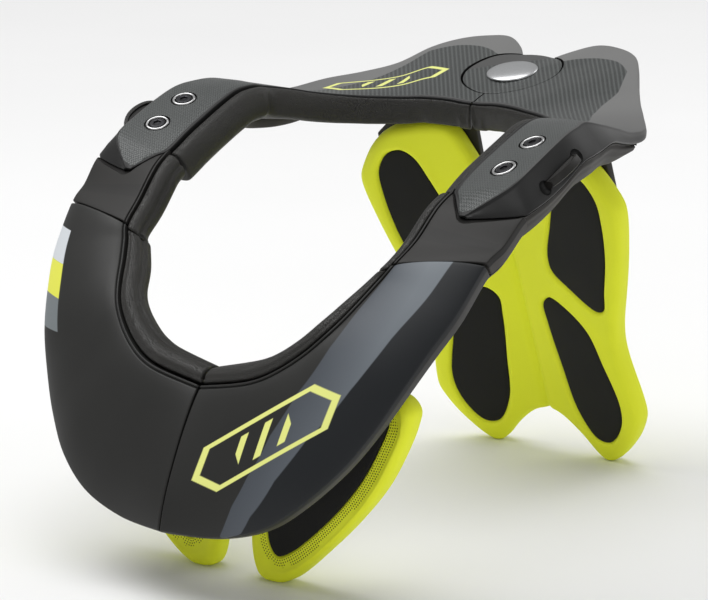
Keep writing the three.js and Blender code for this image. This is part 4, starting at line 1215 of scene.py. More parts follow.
def arm_rings():
    """Rings of the arm and wing: crowned top, side wall, lower edge and underside."""
    t = np.linspace(0, FRAME_END, 230)
    inner, outer, low, along, across, normal, width = ARMS.at(t)
    thin = np.minimum(1, 0.35 + t * 0.3)[:, None]
    side = low - outer
    side_out = np.linalg.norm(side - across * (side * across).sum(-1, keepdims=True), axis=-1)
    wide = width[:, None]
    reach = side_out[:, None]

    def point(start, offset, height):
        return start + across * offset + normal * height

    rows = [
        (point(inner, wide * 0.5, -PLATE * thin), 0, 3),
        (point(inner, np.minimum(WALL, wide * 0.3), -PLATE * thin), 0.0008, 3.3),
        (point(inner, 0, -LIP * thin), 0.0008, -1),
        (point(inner, 0, -0.05 * MM), 0.0008, -0.2),
        (point(inner, np.minimum(1.4 * MM, wide * 0.06), 0.1 * MM), 0.0004, 0.0),
        (point(inner, np.minimum(2 * MM, wide * 0.09), -0.35 * MM * thin), 0.0003, 0.03),
    ]
    rise = sizes().arm_crown
    under = np.minimum(PLATE * thin, reach * 0.9)
    for share in np.linspace(0.12, 0.93, 10):
        height = rise * thin * min(share, 1 - share) * 2
        rows.append((point(inner, wide * share, height), 0, share))
    rows += [
        (point(outer, 0, 0 * thin), 0.0018, 1),
        (point(outer, 0.5 * MM * thin, -np.minimum(1.2 * MM, reach * 0.25)), 0.0008, 1.15),
        (outer * 0.45 + low * 0.55 + across * 0.5 * MM, 0, 1.6),
        (low, 0.001, 2),
        (point(low, -1.2 * MM * thin, -0.9 * MM * thin), 0.0006, 2.1),
        (point(low, -WALL * thin, 0.2 * MM), 0, 2.3),
        (point(outer, -np.minimum(WALL, wide * 0.2), -under), 0, 2.5),
    ]
    return listed_rings(t, rows)


def arm_spot(length_share, share):
    """A point on the arm's top and the surface's normal there."""
    target = float(lengthwise(np.array(length_share)))
    t = 0.0
    while t < ARM_END and ARMS.at(t)[0][1] < target:
        t += 0.02
    inner, _, _, _, across, normal, width = ARMS.at(t)
    lift = sizes().arm_crown * min(share, 1 - share) * 2
    return inner + across * share * width + normal * lift, normal


SCREWS = ((-0.112, 0.55), (0.035, 0.575))


def arm_wing():
    """The arm and wing, cut for the disc, the hub, the lever and the screws."""
    arm = ring_mesh("arm_wing", round_ends(arm_rings(), 0.5 * MM))
    tools = [
        drum(PIVOT, PIVOT_AXIS, DISC_RADIUS + DISC_SEAM, -40 * MM, 40 * MM, 160),
        hub_room(-40 * MM, -DISC_THICK),
        other_half(),
        lever_bore(),
    ]
    along = unit(LEVER_ALONG)
    for end in (-1, 1):
        scoop = LEVER_PIN + along * end * (LEVER_LENGTH / 2 + SCOOP_BEYOND)
        tools.append(ball(scoop, SCOOP_RADIUS))
    for spot in SCREWS:
        centre, normal = arm_spot(*spot)
        tools.append(drum(centre, normal, WASHER_RADIUS + WASHER_SEAM, -RECESS, 6 * MM, 64))
    subtract(arm, *tools)
    return shade(arm, 30)


def arm_housing():
    """Stepped housing under the arm, with a lip and ribs along its outer wall."""
    start, end, steps = 1.9, ARM_END + 3.2, 120
    t = np.linspace(start, end, steps)
    inner, outer, low, along, across, normal, width = ARMS.at(t)
    fade = np.sin(np.pi / 2 * np.minimum(1, (np.linspace(14, 0, steps) + 2) / 6))[:, None]
    deep = HOUSING_DEEP * fade
    down = np.array([0, 0, -1.0])
    under = -PLATE - 1 * MM
    out = -WALL - 1 * MM
    rows = [
        (inner + across * width[:, None] * 0.5 + normal * under, 0, 3),
        (inner + across * 7 * MM + normal * under, 0.0005, 3.2),
        (inner + across * 7 * MM + down * (PLATE + 1.2 * deep), 0.002, 3.4),
        (inner + across * 11 * MM + down * (PLATE + 1.6 * deep), 0.002, 2.8),
        (low - across * 8 * MM + down * (deep + 1 * MM), 0.002, 2.4),
        (low - across * 4.4 * MM * fade + down * 0.66 * deep, 0.0006, 1.9),
        (low - across * 3.6 * MM * fade + down * 0.5 * deep, 0.0006, 1.8),
        (low - across * 2.2 * MM * fade + down * 0.34 * deep, 0.0008, 1.6),
        (low - across * 2.6 * MM + down * 2.2 * MM * fade, 0.0004, 1.4),
        (low - across * 0.4 * MM + down * 1 * MM, 0.0006, 1.2),
        (low + across * out + down * 1 * MM, 0, 1.1),
        (low + across * out, 0, 1.0),
        (outer + across * out + normal * under, 0, 0.9),
    ]
    housing = ring_mesh("arm_housing", round_ends(listed_rings(t, rows), 0.6 * MM))
    subtract(housing, lever_bore())
    return shade(housing, 30)


def release_lever():
    """A tab with a rounded outline and a raised grip edge, on its barrel."""
    along = unit(LEVER_ALONG)
    _, outer, low, *_ = ARMS.at(lever_row())
    wall = unit(low - outer)
    out = -unit(np.cross(along, wall))
    up = unit(np.cross(out, along))
    half = LEVER_LENGTH / 2 - 1 * MM
    thin = LEVER_THICK / 2
    shape = bmesh.new()
    bmesh.ops.create_cone(
        shape, cap_ends=True, segments=40, radius1=thin, radius2=thin, depth=2 * half
    )
    shape.transform(Matrix.Rotation(math.pi / 2, 4, "X"))
    barrel = from_bmesh("barrel", shape)
    s = np.linspace(0, 1, 40)[:, None]
    pull = LEVER_REACH * 1.3
    p0, p1, p2, p3 = np.array([(0, -half), (pull, -half), (pull, half), (0, half)])[:, None]
    line = p0 * (1 - s) ** 3 + 3 * p1 * s * (1 - s) ** 2 + 3 * p2 * s**2 * (1 - s) + p3 * s**3
    levels = (
        (0.86, -1), (0.97, -0.85), (1, -0.4), (1, 0.4), (0.97, 0.9), (0.86, 1), (0.72, 1),
        (0.66, 0.55),
    )
    rings = np.zeros((len(levels), len(line), 5))
    for ring, (scale, level) in zip(rings, levels):
        ring[:, :2] = line * (scale, 1 - (1 - scale) * 0.4)
        ring[:, 2] = level * thin
    tab = ring_mesh("tab", rings)
    joined = tab.modifiers.new("join", "BOOLEAN")
    joined.operation = "UNION"
    joined.solver = "MANIFOLD"
    joined.object = barrel
    bpy.context.view_layer.update()
    bake_modifiers(tab)
    bpy.data.objects.remove(barrel)
    basis = Matrix((out, along, up)).transposed().to_4x4()
    basis.translation = Vector(LEVER_PIN)
    tab.data.transform(basis)
    return shade(face_out(tab), 35)


def lever_row():
    """The arm's row beside the lever's middle."""
    t = np.linspace(2, ARM_END, 400)
    inner = ARMS.at(t)[0]
    return float(t[np.argmin(np.abs(inner[:, 1] - lengthwise(np.array(-0.04))))])


# Foam collar


def roll_section(strip, t, proud, deep, tuck, below):
    """Control ring of a foam roll at rows t, then a smooth closed curve through it."""
    inner, _, _, _, across, normal, _ = strip.at(t)
    into = np.maximum(ROLL["into"] * (proud * FOAM_PROUD)[:, None], 1 * MM)
    under = ROLL["under"] * (deep * FOAM_DEEP)[:, None] + GAP
    count = len(t)

    def column(value):
        return np.broadcast_to(np.asarray(value, float), (count,))[:, None]

    offset = np.hstack([column(1 * MM), into, column(-0.2 * tuck), column(-tuck)])
    depth = np.hstack([column(below), under, column(0.9 * deep * FOAM_DEEP), column(below)])
    control = inner[:, None] - across[:, None] * offset[..., None]
    control = control - normal[:, None] * depth[..., None]
    sides = control.shape[1]
    finer = np.linspace(0, sides, ROLL_SIDES, endpoint=False)
    looped = np.concatenate([control[:, -2:], control, control[:, :3]], 1).transpose(1, 0, 2)
    looped = looped.reshape(sides + 5, -1)
    curve = np.stack([smooth(looped, s + 2).reshape(count, 3) for s in finer], 1)
    zone = np.broadcast_to(finer / sides, (count, ROLL_SIDES))
    row = np.broadcast_to(t[:, None], (count, ROLL_SIDES))
    return np.concatenate([curve, row[..., None], zone[..., None]], -1)


def inflate(obj, limit):
    """Cloth pressure on a closed piece; no point moves further than the limit."""
    start = vertex_array(obj.data)
    cloth = obj.modifiers.new("cloth", "CLOTH")
    settings = cloth.settings
    settings.quality = 4
    settings.mass = 0.3
    settings.tension_stiffness = 30
    settings.compression_stiffness = 30
    settings.shear_stiffness = 12
    settings.bending_stiffness = 2.0
    settings.air_damping = 4
    settings.use_pressure = True
    settings.uniform_pressure_force = 4
    settings.effector_weights.gravity = 0
    cloth.collision_settings.use_collision = False
    cloth.point_cache.frame_start = 1
    cloth.point_cache.frame_end = CLOTH_FRAMES
    scene = bpy.context.scene
    for step in range(1, CLOTH_FRAMES + 1):
        scene.frame_set(step)
    mesh = evaluated_mesh(obj)
    moved = vertex_array(mesh) - start
    far = np.linalg.norm(moved, axis=1, keepdims=True)
    moved *= np.minimum(1, limit / np.maximum(far, 1e-9))
    obj.modifiers.clear()
    obj.data.vertices.foreach_set("co", (start + moved).ravel())
    obj.data.update()
    bpy.data.meshes.remove(mesh)
    scene.frame_set(1)
    return obj


def subdivide(obj, levels):
    """One smoothing of a roll, its maps kept as they are."""
    modifier = obj.modifiers.new("smooth", "SUBSURF")
    modifier.levels = modifier.render_levels = levels
    modifier.uv_smooth = "NONE"
    bpy.context.view_layer.update()
    return bake_modifiers(obj)


def zone_of(mesh):
    """The Zone map's value at each vertex."""
    uv = np.empty(len(mesh.loops) * 2, np.float32)
    mesh.uv_layers["Zone"].data.foreach_get("uv", uv)
    ids = np.empty(len(mesh.loops), np.int32)
    mesh.loops.foreach_get("vertex_index", ids)
    zone = np.zeros((len(mesh.vertices), 2))
    zone[ids] = uv.reshape(-1, 2)
    return zone


def press_channels(obj, channels):
    """Presses sewn channels into a roll: each is a place round its section, a depth and width."""
    mesh = obj.data
    zone = zone_of(mesh)
    normals = np.empty(len(mesh.vertices) * 3)
    mesh.vertices.foreach_get("normal", normals)
    normals = normals.reshape(-1, 3)
    co = vertex_array(mesh)
    for place, depth, width in channels:
        near = np.exp(-(((zone[:, 1] - place) / width) ** 2))
        co -= normals * (depth * near)[:, None]
    mesh.vertices.foreach_set("co", co.ravel())
    mesh.update()
    return obj


def foam_roll(name, strip, start, end, steps, size, tuck, below, seam=False):
    """A roll of the collar: lofted small, inflated and subdivided."""
    t = np.linspace(start, end, steps)
    proud, deep = size(t)
    rings = roll_section(strip, t, proud, deep, tuck, below)
    if seam:
        keep_seam(rings)
    rings = round_ends(rings, 1.4 * MM, 3)
    roll = ring_mesh(name, rings, centre_caps=True)
    inflate(roll, sizes().foam_swell)
    subdivide(roll, 1)
    return roll


def lerp_size(rows, proud, deep):
    """How proud and deep a roll is at a row, eased from the first row's pair to the last's."""

    def size(t):
        f = np.clip((t - rows[0]) / (rows[1] - rows[0]), 0, 1)
        f = f * f * (3 - 2 * f)
        return proud[0] + (proud[1] - proud[0]) * f, deep[0] + (deep[1] - deep[0]) * f

    return size


SHELL_TUCK = (8 * MM, LINER_DEEP + 0.9 * MM)
ARM_TUCK = (4 * MM, PLATE + 0.9 * MM)
CHANNEL = ((0.43, 0.7 * MM, 0.03), (0.2, 0.4 * MM, 0.03))


def foam_front():
    early = lerp_size((1.5, 5), (0.97, 0.83), (0.97, 0.78))
    late = lerp_size((6.0, LINK_START - 0.6), (0, 0.2), (0, 0.03))

    def size(t):
        return tuple(a - b for a, b in zip(early(t), late(t)))

    roll = foam_roll("foam_front", RING, 0, LINK_START - 0.3, 70, size, *SHELL_TUCK, seam=True)
    return shade(press_channels(roll, CHANNEL), 60)


def foam_side():
    size = lerp_size((LINK_START, 12), (0.7, 0.7), (0.75, 0.76))
    roll = foam_roll("foam_side", RING, LINK_START - 0.24, 11.7, 24, size, *SHELL_TUCK)
    return shade(press_channels(roll, CHANNEL[:1]), 60)


def foam_rear():
    size = lerp_size((ARM_END - 2, ARM_END + 6), (0.93, 0.3), (0.98, 0.8))
    roll = foam_roll("foam_rear", ARMS, 2.95, FRAME_END - 0.45, 100, size, *ARM_TUCK)
    press_channels(roll, CHANNEL[1:])
    subtract(roll, other_half(), hub_room(-60 * MM, 10 * MM))
    return shade(roll, 50)


# Pads


def closed_curve(points, count):
    """A closed centripetal curve through the points."""
    n = len(points)
    knots = [0.0]
    for i in range(n):
        knots.append(knots[-1] + math.sqrt(np.linalg.norm(points[(i + 1) % n] - points[i])))
    out = []
    for i in range(n):
        p = [points[(i + k) % n] for k in (-1, 0, 1, 2)]
        d = [math.sqrt(np.linalg.norm(p[k + 1] - p[k])) for k in range(3)]
        k0, k1, k2, k3 = 0, d[0], d[0] + d[1], d[0] + d[1] + d[2]
        share = (knots[i + 1] - knots[i]) / knots[-1]
        for s in np.linspace(k1, k2, max(2, round(count * share)), endpoint=False):
            a1 = p[0] * (k1 - s) / (k1 - k0) + p[1] * (s - k0) / (k1 - k0)
            a2 = p[1] * (k2 - s) / (k2 - k1) + p[2] * (s - k1) / (k2 - k1)
            a3 = p[2] * (k3 - s) / (k3 - k2) + p[3] * (s - k2) / (k3 - k2)
            b1 = a1 * (k2 - s) / (k2 - k0) + a2 * (s - k0) / (k2 - k0)
            b2 = a2 * (k3 - s) / (k3 - k1) + a3 * (s - k1) / (k3 - k1)
            out.append(b1 * (k2 - s) / (k2 - k1) + b2 * (s - k1) / (k2 - k1))
    return np.array(out)


def turned(loop):
    """The loop with its inside on the left."""
    x, y = loop.T
    area = (x * np.roll(y, -1) - np.roll(x, -1) * y).sum()
    return loop if area > 0 else loop[::-1]


def inset(loop, distance):
    """The loop moved inwards by a distance along its normals."""
    side = np.roll(loop, -1, 0) - np.roll(loop, 1, 0)
    side /= np.linalg.norm(side, axis=1, keepdims=True)
    return loop + np.stack([-side[:, 1], side[:, 0]], -1) * distance


def distance_to(points, loop, closed=True):
    """Distance from each point to a line of points."""
    a = loop if closed else loop[:-1]
    b = np.roll(loop, -1, 0) if closed else loop[1:]
    best = np.full(len(points), 1e9)
    for start, end in zip(a, b):
        step = end - start
        f = np.clip(((points - start) @ step) / max(step @ step, 1e-18), 0, 1)
        best = np.minimum(best, np.linalg.norm(points - start - f[:, None] * step, axis=1))
    return best


def inside(points, loop):
    """Whether each point lies inside a closed loop."""
    x, y = points.T
    hit = np.zeros(len(points), bool)
    for (x1, y1), (x2, y2) in zip(loop, np.roll(loop, -1, 0)):
        crosses = (y1 > y) != (y2 > y)
        with np.errstate(divide="ignore", invalid="ignore"):
            hit ^= crosses & (x < (x2 - x1) * (y - y1) / (y2 - y1) + x1)
    return hit


def fill(outline, loops, spacing):
    """Triangles inside the outline whose edges follow it and the loops."""
    points, edges = [], []

    def add(loop):
        base = len(points)
        points.extend(loop)
        count = len(loop)
        edges.extend((base + i, base + (i + 1) % count) for i in range(count))

    add(outline)
    for loop in loops:
        add(loop)
    low, high = outline.min(0), outline.max(0)
    columns, lines = np.arange(low[0], high[0], spacing), np.arange(low[1], high[1], spacing * 0.87)
    x, y = np.meshgrid(columns, lines, indexing="ij")
    x = x + (np.arange(x.shape[1]) % 2) * spacing / 2
    grid = np.stack([x.ravel(), y.ravel()], -1)
    grid = grid[inside(grid, outline) & (distance_to(grid, outline) > spacing * 0.5)]
    for loop in loops:
        grid = grid[distance_to(grid, loop) > spacing * 0.35]
    points.extend(grid)
    flat = [Vector(p) for p in points]
    verts, _, faces, *_ = delaunay_2d_cdt(flat, edges, [], 1, 1e-7)
    return np.array([tuple(v) for v in verts]), [tuple(f) for f in faces]


def slab_mesh(name, outline, loops, front, rear, to_space):
    """A closed piece over a flat outline: front and rear give the heights of both faces."""
    flat, faces = fill(outline, loops, PAD_STEP)
    count = len(flat)
    uses = {}
    for face in faces:
        for pair in zip(face, (*face[1:], face[0])):
            uses.setdefault(frozenset(pair), []).append(pair)
    border = [pairs[0] for pairs in uses.values() if len(pairs) == 1]
    top = to_space(flat, front(flat))
    bottom = to_space(flat, rear(flat))
    all_faces = list(faces) + [tuple(reversed([i + count for i in face])) for face in faces]
    all_faces += [(b, a, a + count, b + count) for a, b in border]
    mesh = bpy.data.meshes.new(name)
    mesh.from_pydata([tuple(p) for p in np.vstack([top, bottom])], [], all_faces)
    uv = np.vstack([flat, flat])
    ids = np.empty(len(mesh.loops), np.int32)
    mesh.loops.foreach_get("vertex_index", ids)
    mesh.uv_layers.new(name="Surface").data.foreach_set("uv", uv[ids].astype(np.float32).ravel())
    return face_out(finish_mesh(name, mesh))


def away_from(points, loop):
    """Distance to a closed loop, negative inside it."""
    return distance_to(points, loop) * np.where(inside(points, loop), -1, 1)


def pocket_depth(away):
    """How deep a pocket is at a distance outside its outline."""
    return POCKET_DEEP * np.clip(0.5 - away / POCKET_EDGE, 0, 1)


def rounding(distance, radius):
    """How far a rounded edge lies below the face at a distance from the outline."""
    e = np.clip(distance / radius, 0, 1)
    return radius * (1 - np.sqrt(np.maximum(0, 1 - (1 - e) ** 2)))


BACK_DOWN = np.array([0, math.sin(BACK_LEAN), -math.cos(BACK_LEAN)])
BACK_FACE = np.array([0, -math.cos(BACK_LEAN), -math.sin(BACK_LEAN)])
BACK_OUT = np.array([math.cos(BACK_WRAP), 0, 0]) + BACK_FACE * math.sin(BACK_WRAP)
BACK_NORMAL = unit(np.cross(BACK_DOWN, BACK_OUT))
if BACK_NORMAL @ BACK_FACE < 0:
    BACK_NORMAL = -BACK_NORMAL
BACK_TOP = np.array([0, PIVOT[1] - BACK_SET, CREST - BACK_TOP_DROP])


def back_space(flat, height):
    """Pad coordinates (out, down) and a height off its face, in the frame."""
    off = np.asarray(height)[:, None] * BACK_NORMAL
    return BACK_TOP + flat[:, :1] * BACK_OUT + flat[:, 1:] * BACK_DOWN + off


def insert_loop(rows, count=150):
    """A back insert's outline from its table of shares."""
    points = np.stack([rows["across"] * BACK_HALF, rows["down"] * BACK_LENGTH], -1)
    return turned(closed_curve(points, count))


def back_outline():
    """Outline of the left half, with smooth ends and its straight edge at the spine."""
    out = np.linspace(0, 1, 60)
    ends = {}
    for key in ("top", "foot"):
        ends[key] = np.interp(out, BACK_ENDS["out"], BACK_ENDS[key])
    kernel = np.array([1, 2, 3, 4, 3, 2, 1]) / 16
    for key, values in ends.items():
        padded = np.concatenate([[values[0]] * 3, values, [values[-1]] * 3])
        ends[key] = np.convolve(padded, kernel, "valid")

    def across(down):
        return np.interp(down, BACK_WIDTHS["down"], BACK_WIDTHS["across"])

    top = np.stack([out * across(ends["top"]), ends["top"]], -1)
    foot = np.stack([out * across(ends["foot"]), ends["foot"]], -1)[::-1]
    down = np.linspace(ends["top"][-1], ends["foot"][-1], 60)[1:-1]
    width = np.convolve(np.pad(across(down), 4, "edge"), np.ones(9) / 9, "valid")
    side = np.stack([width, down], -1)
    line = np.concatenate([top, side, foot]) * (BACK_HALF, BACK_LENGTH)
    return line


def soften(line, passes=6):
    """Smooths an open line without moving its ends."""
    line = line.copy()
    for _ in range(passes):
        line[1:-1] = line[1:-1] * 0.5 + (line[:-2] + line[2:]) * 0.25
    return line


def back_pad():
    """Butterfly pad: two leaning halves with a crease at the spine and four pockets."""
    line = soften(back_outline())
    steps = max(2, round((line[-1, 1] - line[0, 1]) / (3 * MM)))
    down = np.linspace(line[-1, 1], line[0, 1], steps + 1)[1:-1]
    spine = np.stack([np.zeros(steps - 1), down], -1)
    outline = turned(np.concatenate([line, spine]))
    pockets = [insert_loop(UPPER_INSERT), insert_loop(LOWER_INSERT)]
    radius = sizes().pad_round
    loops = []
    for share in (0.08, 0.2, 0.4, 0.65, 1.0):
        ring = inset(turned(outline), radius * share)
        ring[:, 0] = np.maximum(ring[:, 0], 0.3 * MM)
        loops.append(ring)
    for pocket in pockets:
        loops += [inset(pocket, step * MM) for step in (1.2, 0.2, -0.2, -0.9, -2.0, -3.4)]

    def front(flat):
        fall = rounding(distance_to(flat, line, closed=False), radius)
        height = -fall
        for pocket in pockets:
            away = away_from(flat, pocket)
            height += 0.6 * MM * np.exp(-((away - 3 * MM) / (2.5 * MM)) ** 2)
            height -= pocket_depth(away)
        crease = 1.6 * MM * np.exp(-((flat[:, 0] / (2.2 * MM)) ** 2))
        return height - crease

    def rear(flat):
        return -BACK_THICK + rounding(distance_to(flat, line, closed=False), radius)

    def to_space(flat, height):
        points = back_space(flat, height)
        near = np.clip(1 - flat[:, 0] / (15 * MM), 0, 1)
        points[:, 0] -= near * height * BACK_NORMAL[0]
        points[:, 0] = np.maximum(points[:, 0], 0)
        points[flat[:, 0] < 1e-7, 0] = 0
        points[:, 2] = np.maximum(points[:, 2], 0)
        return points

    half = slab_mesh("back_pad_look", outline, loops, front, rear, to_space)
    shape = bmesh.new()
    shape.from_mesh(half.data)
    middle = [f for f in shape.faces if all(abs(v.co.x) < 1e-7 for v in f.verts)]
    bmesh.ops.delete(shape, geom=middle, context="FACES")
    copy = bmesh.ops.duplicate(shape, geom=shape.verts[:] + shape.edges[:] + shape.faces[:])
    verts = [g for g in copy["geom"] if isinstance(g, bmesh.types.BMVert)]
    faces = [g for g in copy["geom"] if isinstance(g, bmesh.types.BMFace)]
    for vert in verts:
        vert.co.x = -vert.co.x
    bmesh.ops.reverse_faces(shape, faces=faces)
    seam = [v for v in shape.verts if abs(v.co.x) < 1e-7]
    bmesh.ops.remove_doubles(shape, verts=seam, dist=1e-6)
    shape.to_mesh(half.data)
    shape.free()
    face_out(half)
    return shade(half, 50)


def insert_piece(name, loop, to_space, proud):
    """A textile insert with a rounded edge and a slight crown; proud is its edge's height."""
    radius = 1.1 * MM
    edge = inset(loop, GAP)
    loops = [inset(edge, radius * share) for share in (0.1, 0.3, 0.6, 1.0)] + [inset(edge, 4 * MM)]

    def front(flat):
        away = distance_to(flat, edge)
        swell = INSERT_CROWN * (1 - np.exp(-((away / (9 * MM)) ** 2)))
        return proud - rounding(away, radius) + swell

    def rear(flat):
        return np.full(len(flat), INSERT_FLOOR)

    return shade(slab_mesh(name, edge, loops, front, rear, to_space), 50)


def chest_space(flat, height):
    """Pad coordinates (out, up) and a height off its face, in the frame."""
    front = NECK_Y - CHEST_SET - CHEST_THICK / 2
    return np.stack([flat[:, 0], front - np.asarray(height), np.maximum(flat[:, 1], 0)], -1)


def chest_loop(rows, count=220):
    """The outline of a chest pad or panel from its table of shares."""
    points = np.stack([rows["across"] * CHEST_HALF, rows["up"] * CHEST_TALL], -1)
    return turned(closed_curve(points, count))


def chest_pad():
    """Leaf-shaped pad with a pocket for its panel and a raised rim."""
    outline = chest_loop(CHEST)
    panel = chest_loop(PANEL)
    radius = sizes().pad_round
    loops = [inset(outline, radius * share) for share in (0.05, 0.14, 0.28, 0.48, 0.72, 1.0)]
    loops += [inset(panel, step * MM) for step in (1.2, 0.2, -0.2, -0.9, -2.0)]
    loops += [inset(panel, -7 * MM), inset(panel, -8 * MM)]

    def front(flat):
        height = -rounding(distance_to(flat, outline), radius)
        away = away_from(flat, panel)
        height -= pocket_depth(away)
        height += 0.9 * MM * np.clip((away - 6.6 * MM) / (1.4 * MM), 0, 1)
        return height

    def rear(flat):
        return -CHEST_THICK + rounding(distance_to(flat, outline), radius)

    return shade(slab_mesh("chest_pad", outline, loops, front, rear, chest_space), 50)


# What repeats: geometry nodes


class Geometry:
    """A node tree for a modifier, with named inputs that are set by their identifiers."""

    def __init__(self, name, inputs):
        self.tree = bpy.data.node_groups.new(name, "GeometryNodeTree")
        self.tree.is_modifier = True
        face = self.tree.interface
        face.new_socket("Geometry", in_out="INPUT", socket_type="NodeSocketGeometry")
        self.ids = {}
        for label, kind in inputs.items():
            self.ids[label] = face.new_socket(label, in_out="INPUT", socket_type=kind).identifier
        face.new_socket("Geometry", in_out="OUTPUT", socket_type="NodeSocketGeometry")
        self.source = self.tree.nodes.new("NodeGroupInput")

    def node(self, kind, settings=None, inputs=None):
        made = self.tree.nodes.new(kind)
        for key, value in (settings or {}).items():
            setattr(made, key, value)
        for key, value in (inputs or {}).items():
            if isinstance(value, bpy.types.NodeSocket):
                self.tree.links.new(value, made.inputs[key])
            else:
                made.inputs[key].default_value = value
        return made

    def close(self, geometry):
        real = self.node("GeometryNodeRealizeInstances", {}, {0: geometry})
        inputs = {0: real.outputs[0], "Material": self.source.outputs["Material"]}
        coated = self.node("GeometryNodeSetMaterial", {}, inputs)
        self.node("NodeGroupOutput", {}, {0: coated.outputs[0]})

    def run(self, name, obj, values):
        """Runs the tree on an object and returns its result as a new plain object."""
        modifier = obj.modifiers.new("repeat", "NODES")
        modifier.node_group = self.tree
        for label, value in values.items():
            modifier[self.ids[label]] = value
        obj.update_tag()
        bpy.context.view_layer.update()
        mesh = evaluated_mesh(obj)
        obj.modifiers.clear()
        bpy.data.objects.remove(obj)
        mesh.name = name
        return finish_mesh(name, mesh)


def point_cloud(name, points, axes):
    """Vertices with the axis that each copy stands on."""
    mesh = bpy.data.meshes.new(name)
    mesh.from_pydata([tuple(p) for p in points], [], [])
    attribute = mesh.attributes.new("axis", "FLOAT_VECTOR", "POINT")
    attribute.data.foreach_set("vector", np.asarray(axes, float).ravel())
    return finish_mesh(name, mesh)


@functools.cache
def repeat_tree():
    """Copies of a template object on points, each turned to its point's axis."""
    kinds = {"Template": "Object", "Scale": "Float", "Material": "Material"}
    tree = Geometry("brace repeat", {label: "NodeSocket" + kind for label, kind in kinds.items()})
    given = tree.source.outputs
    vector = {"data_type": "FLOAT_VECTOR"}
    shape = tree.node("GeometryNodeObjectInfo", {}, {"Object": given["Template"]})
    axis = tree.node("GeometryNodeInputNamedAttribute", vector, {"Name": "axis"})
    inputs = {"Vector": axis.outputs[0]}
    turn = tree.node("FunctionNodeAlignRotationToVector", {"axis": "Z"}, inputs)
    inputs = {
        "Points": given["Geometry"],
        "Instance": shape.outputs["Geometry"],
        "Rotation": turn.outputs[0],
        "Scale": given["Scale"],
    }
    copies = tree.node("GeometryNodeInstanceOnPoints", {}, inputs)
    tree.close(copies.outputs[0])
    return tree


def repeated(name, template, points, axes, material):
    """One plain object of a template's copies; the template is used up."""
    cloud = point_cloud(name + "_points", points, axes)
    values = {"Template": template, "Scale": 1.0, "Material": material}
    made = repeat_tree().run(name, cloud, values)
    bpy.data.objects.remove(template)
    return made


def lathe(name, profile, sides):
    """A closed turned shape about Z; the profile starts and ends on the axis, or goes round."""
    shape = bmesh.new()
    rings = []
    for radius, height in profile:
        angles = np.arange(sides if radius > TINY else 1) * 2 * math.pi / sides
        points = [(radius * math.cos(a), radius * math.sin(a), height) for a in angles]
        rings.append([shape.verts.new(point) for point in points])
    pairs = list(zip(rings, rings[1:]))
    if profile[0][0] > TINY:
        pairs.append((rings[-1], rings[0]))
    for low, high in pairs:
        for i in range(sides):
            j = (i + 1) % sides
            around = ((low, i), (low, j), (high, j), (high, i))
            corners = [ring[k % len(ring)] for ring, k in around]
            unique = list(dict.fromkeys(corners))
            if len(unique) > 2:
                shape.faces.new(unique)
    return shade(face_out(from_bmesh(name, shape)), 40)


def arc(centre, radius, first, last, steps=5):
    """Points of an arc, its angles in degrees."""
    angles = np.radians(np.linspace(first, last, steps))
    return [(centre[0] + radius * math.cos(a), centre[1] + radius * math.sin(a)) for a in angles]


def hole_places(step):
    """Staggered rows of holes round the chest panel, clear of the pad's rounded edge."""
    panel = chest_loop(PANEL, 600)
    spots = []
    for row in range(HOLE_ROWS):
        line = inset(panel, -(HOLE_START + row * step * 0.87))
        run = np.concatenate([[0], np.cumsum(np.linalg.norm(np.diff(line, axis=0), axis=1))])
        places = np.arange((row % 2) * step / 2, run[-1], step)
        spots.append(np.stack([np.interp(places, run, line[:, k]) for k in (0, 1)], -1))
    flat = np.concatenate(spots)
    outline = chest_loop(CHEST)
    return flat[inside(flat, outline) & (distance_to(flat, outline) > HOLE_MARGIN)]


def screw_template():
    """Button head with a hex socket, its top just above the recess's rim."""
    radius, top, floor = SCREW_RADIUS, 0.25 * MM, -RECESS + GAP
    soft = 0.8 * MM
    profile = [
        (0, floor),
        (radius, floor),
        *arc((radius - soft, top - soft), soft, 0, 90),
        (SOCKET_RADIUS + 0.25 * MM, top + 0.05 * MM),
        (SOCKET_RADIUS, top - 0.1 * MM),
        (SOCKET_RADIUS - 0.1 * MM, floor + 0.7 * MM),
        (0, floor + 0.5 * MM),
    ]
    head = lathe("screw", profile, 48)
    mesh = head.data
    co = vertex_array(mesh)
    reach = np.hypot(co[:, 0], co[:, 1])
    socket = (reach > TINY) & (reach < SOCKET_RADIUS + 0.1 * MM) & (co[:, 2] > floor + 0.1 * MM)
    angle = np.arctan2(co[:, 1], co[:, 0])
    hexagon = math.cos(math.pi / 6) / np.cos((angle % (math.pi / 3)) - math.pi / 6)
    co[socket, :2] *= (hexagon * 1.06)[socket, None]
    mesh.vertices.foreach_set("co", co.ravel())
    mesh.update()
    return shade(head, 30)


def washer_template():
    """A ring with a rounded top that stands just below the recess's rim."""
    radius, bore, floor, level = WASHER_RADIUS, WASHER_BORE, -RECESS + GAP, -0.35 * MM
    bead = arc(((radius + bore) / 2, level), (radius - bore) / 2, 15, 165, 7)
    profile = [(bore, floor), (radius, floor), (radius, level), *bead, (bore, level)]
    return lathe("washer", profile, 72)


# Operators


class BRACE_OT_shells(bpy.types.Operator):
    """Front shells, side links and the stiffeners under them"""

    bl_idname = "brace.shells"
    bl_label = "Shells and links"

    def execute(self, context):
        right = place_pair(front_shell(), "front_shell", "shell", shell_striped())
        right.data.materials[0] = shell_plain()
        place_pair(side_link(), "side_link", "link", link_plastic())
        place_pair(shell_liner(), "shell_liner", "liner", liner_plastic())
        return {"FINISHED"}


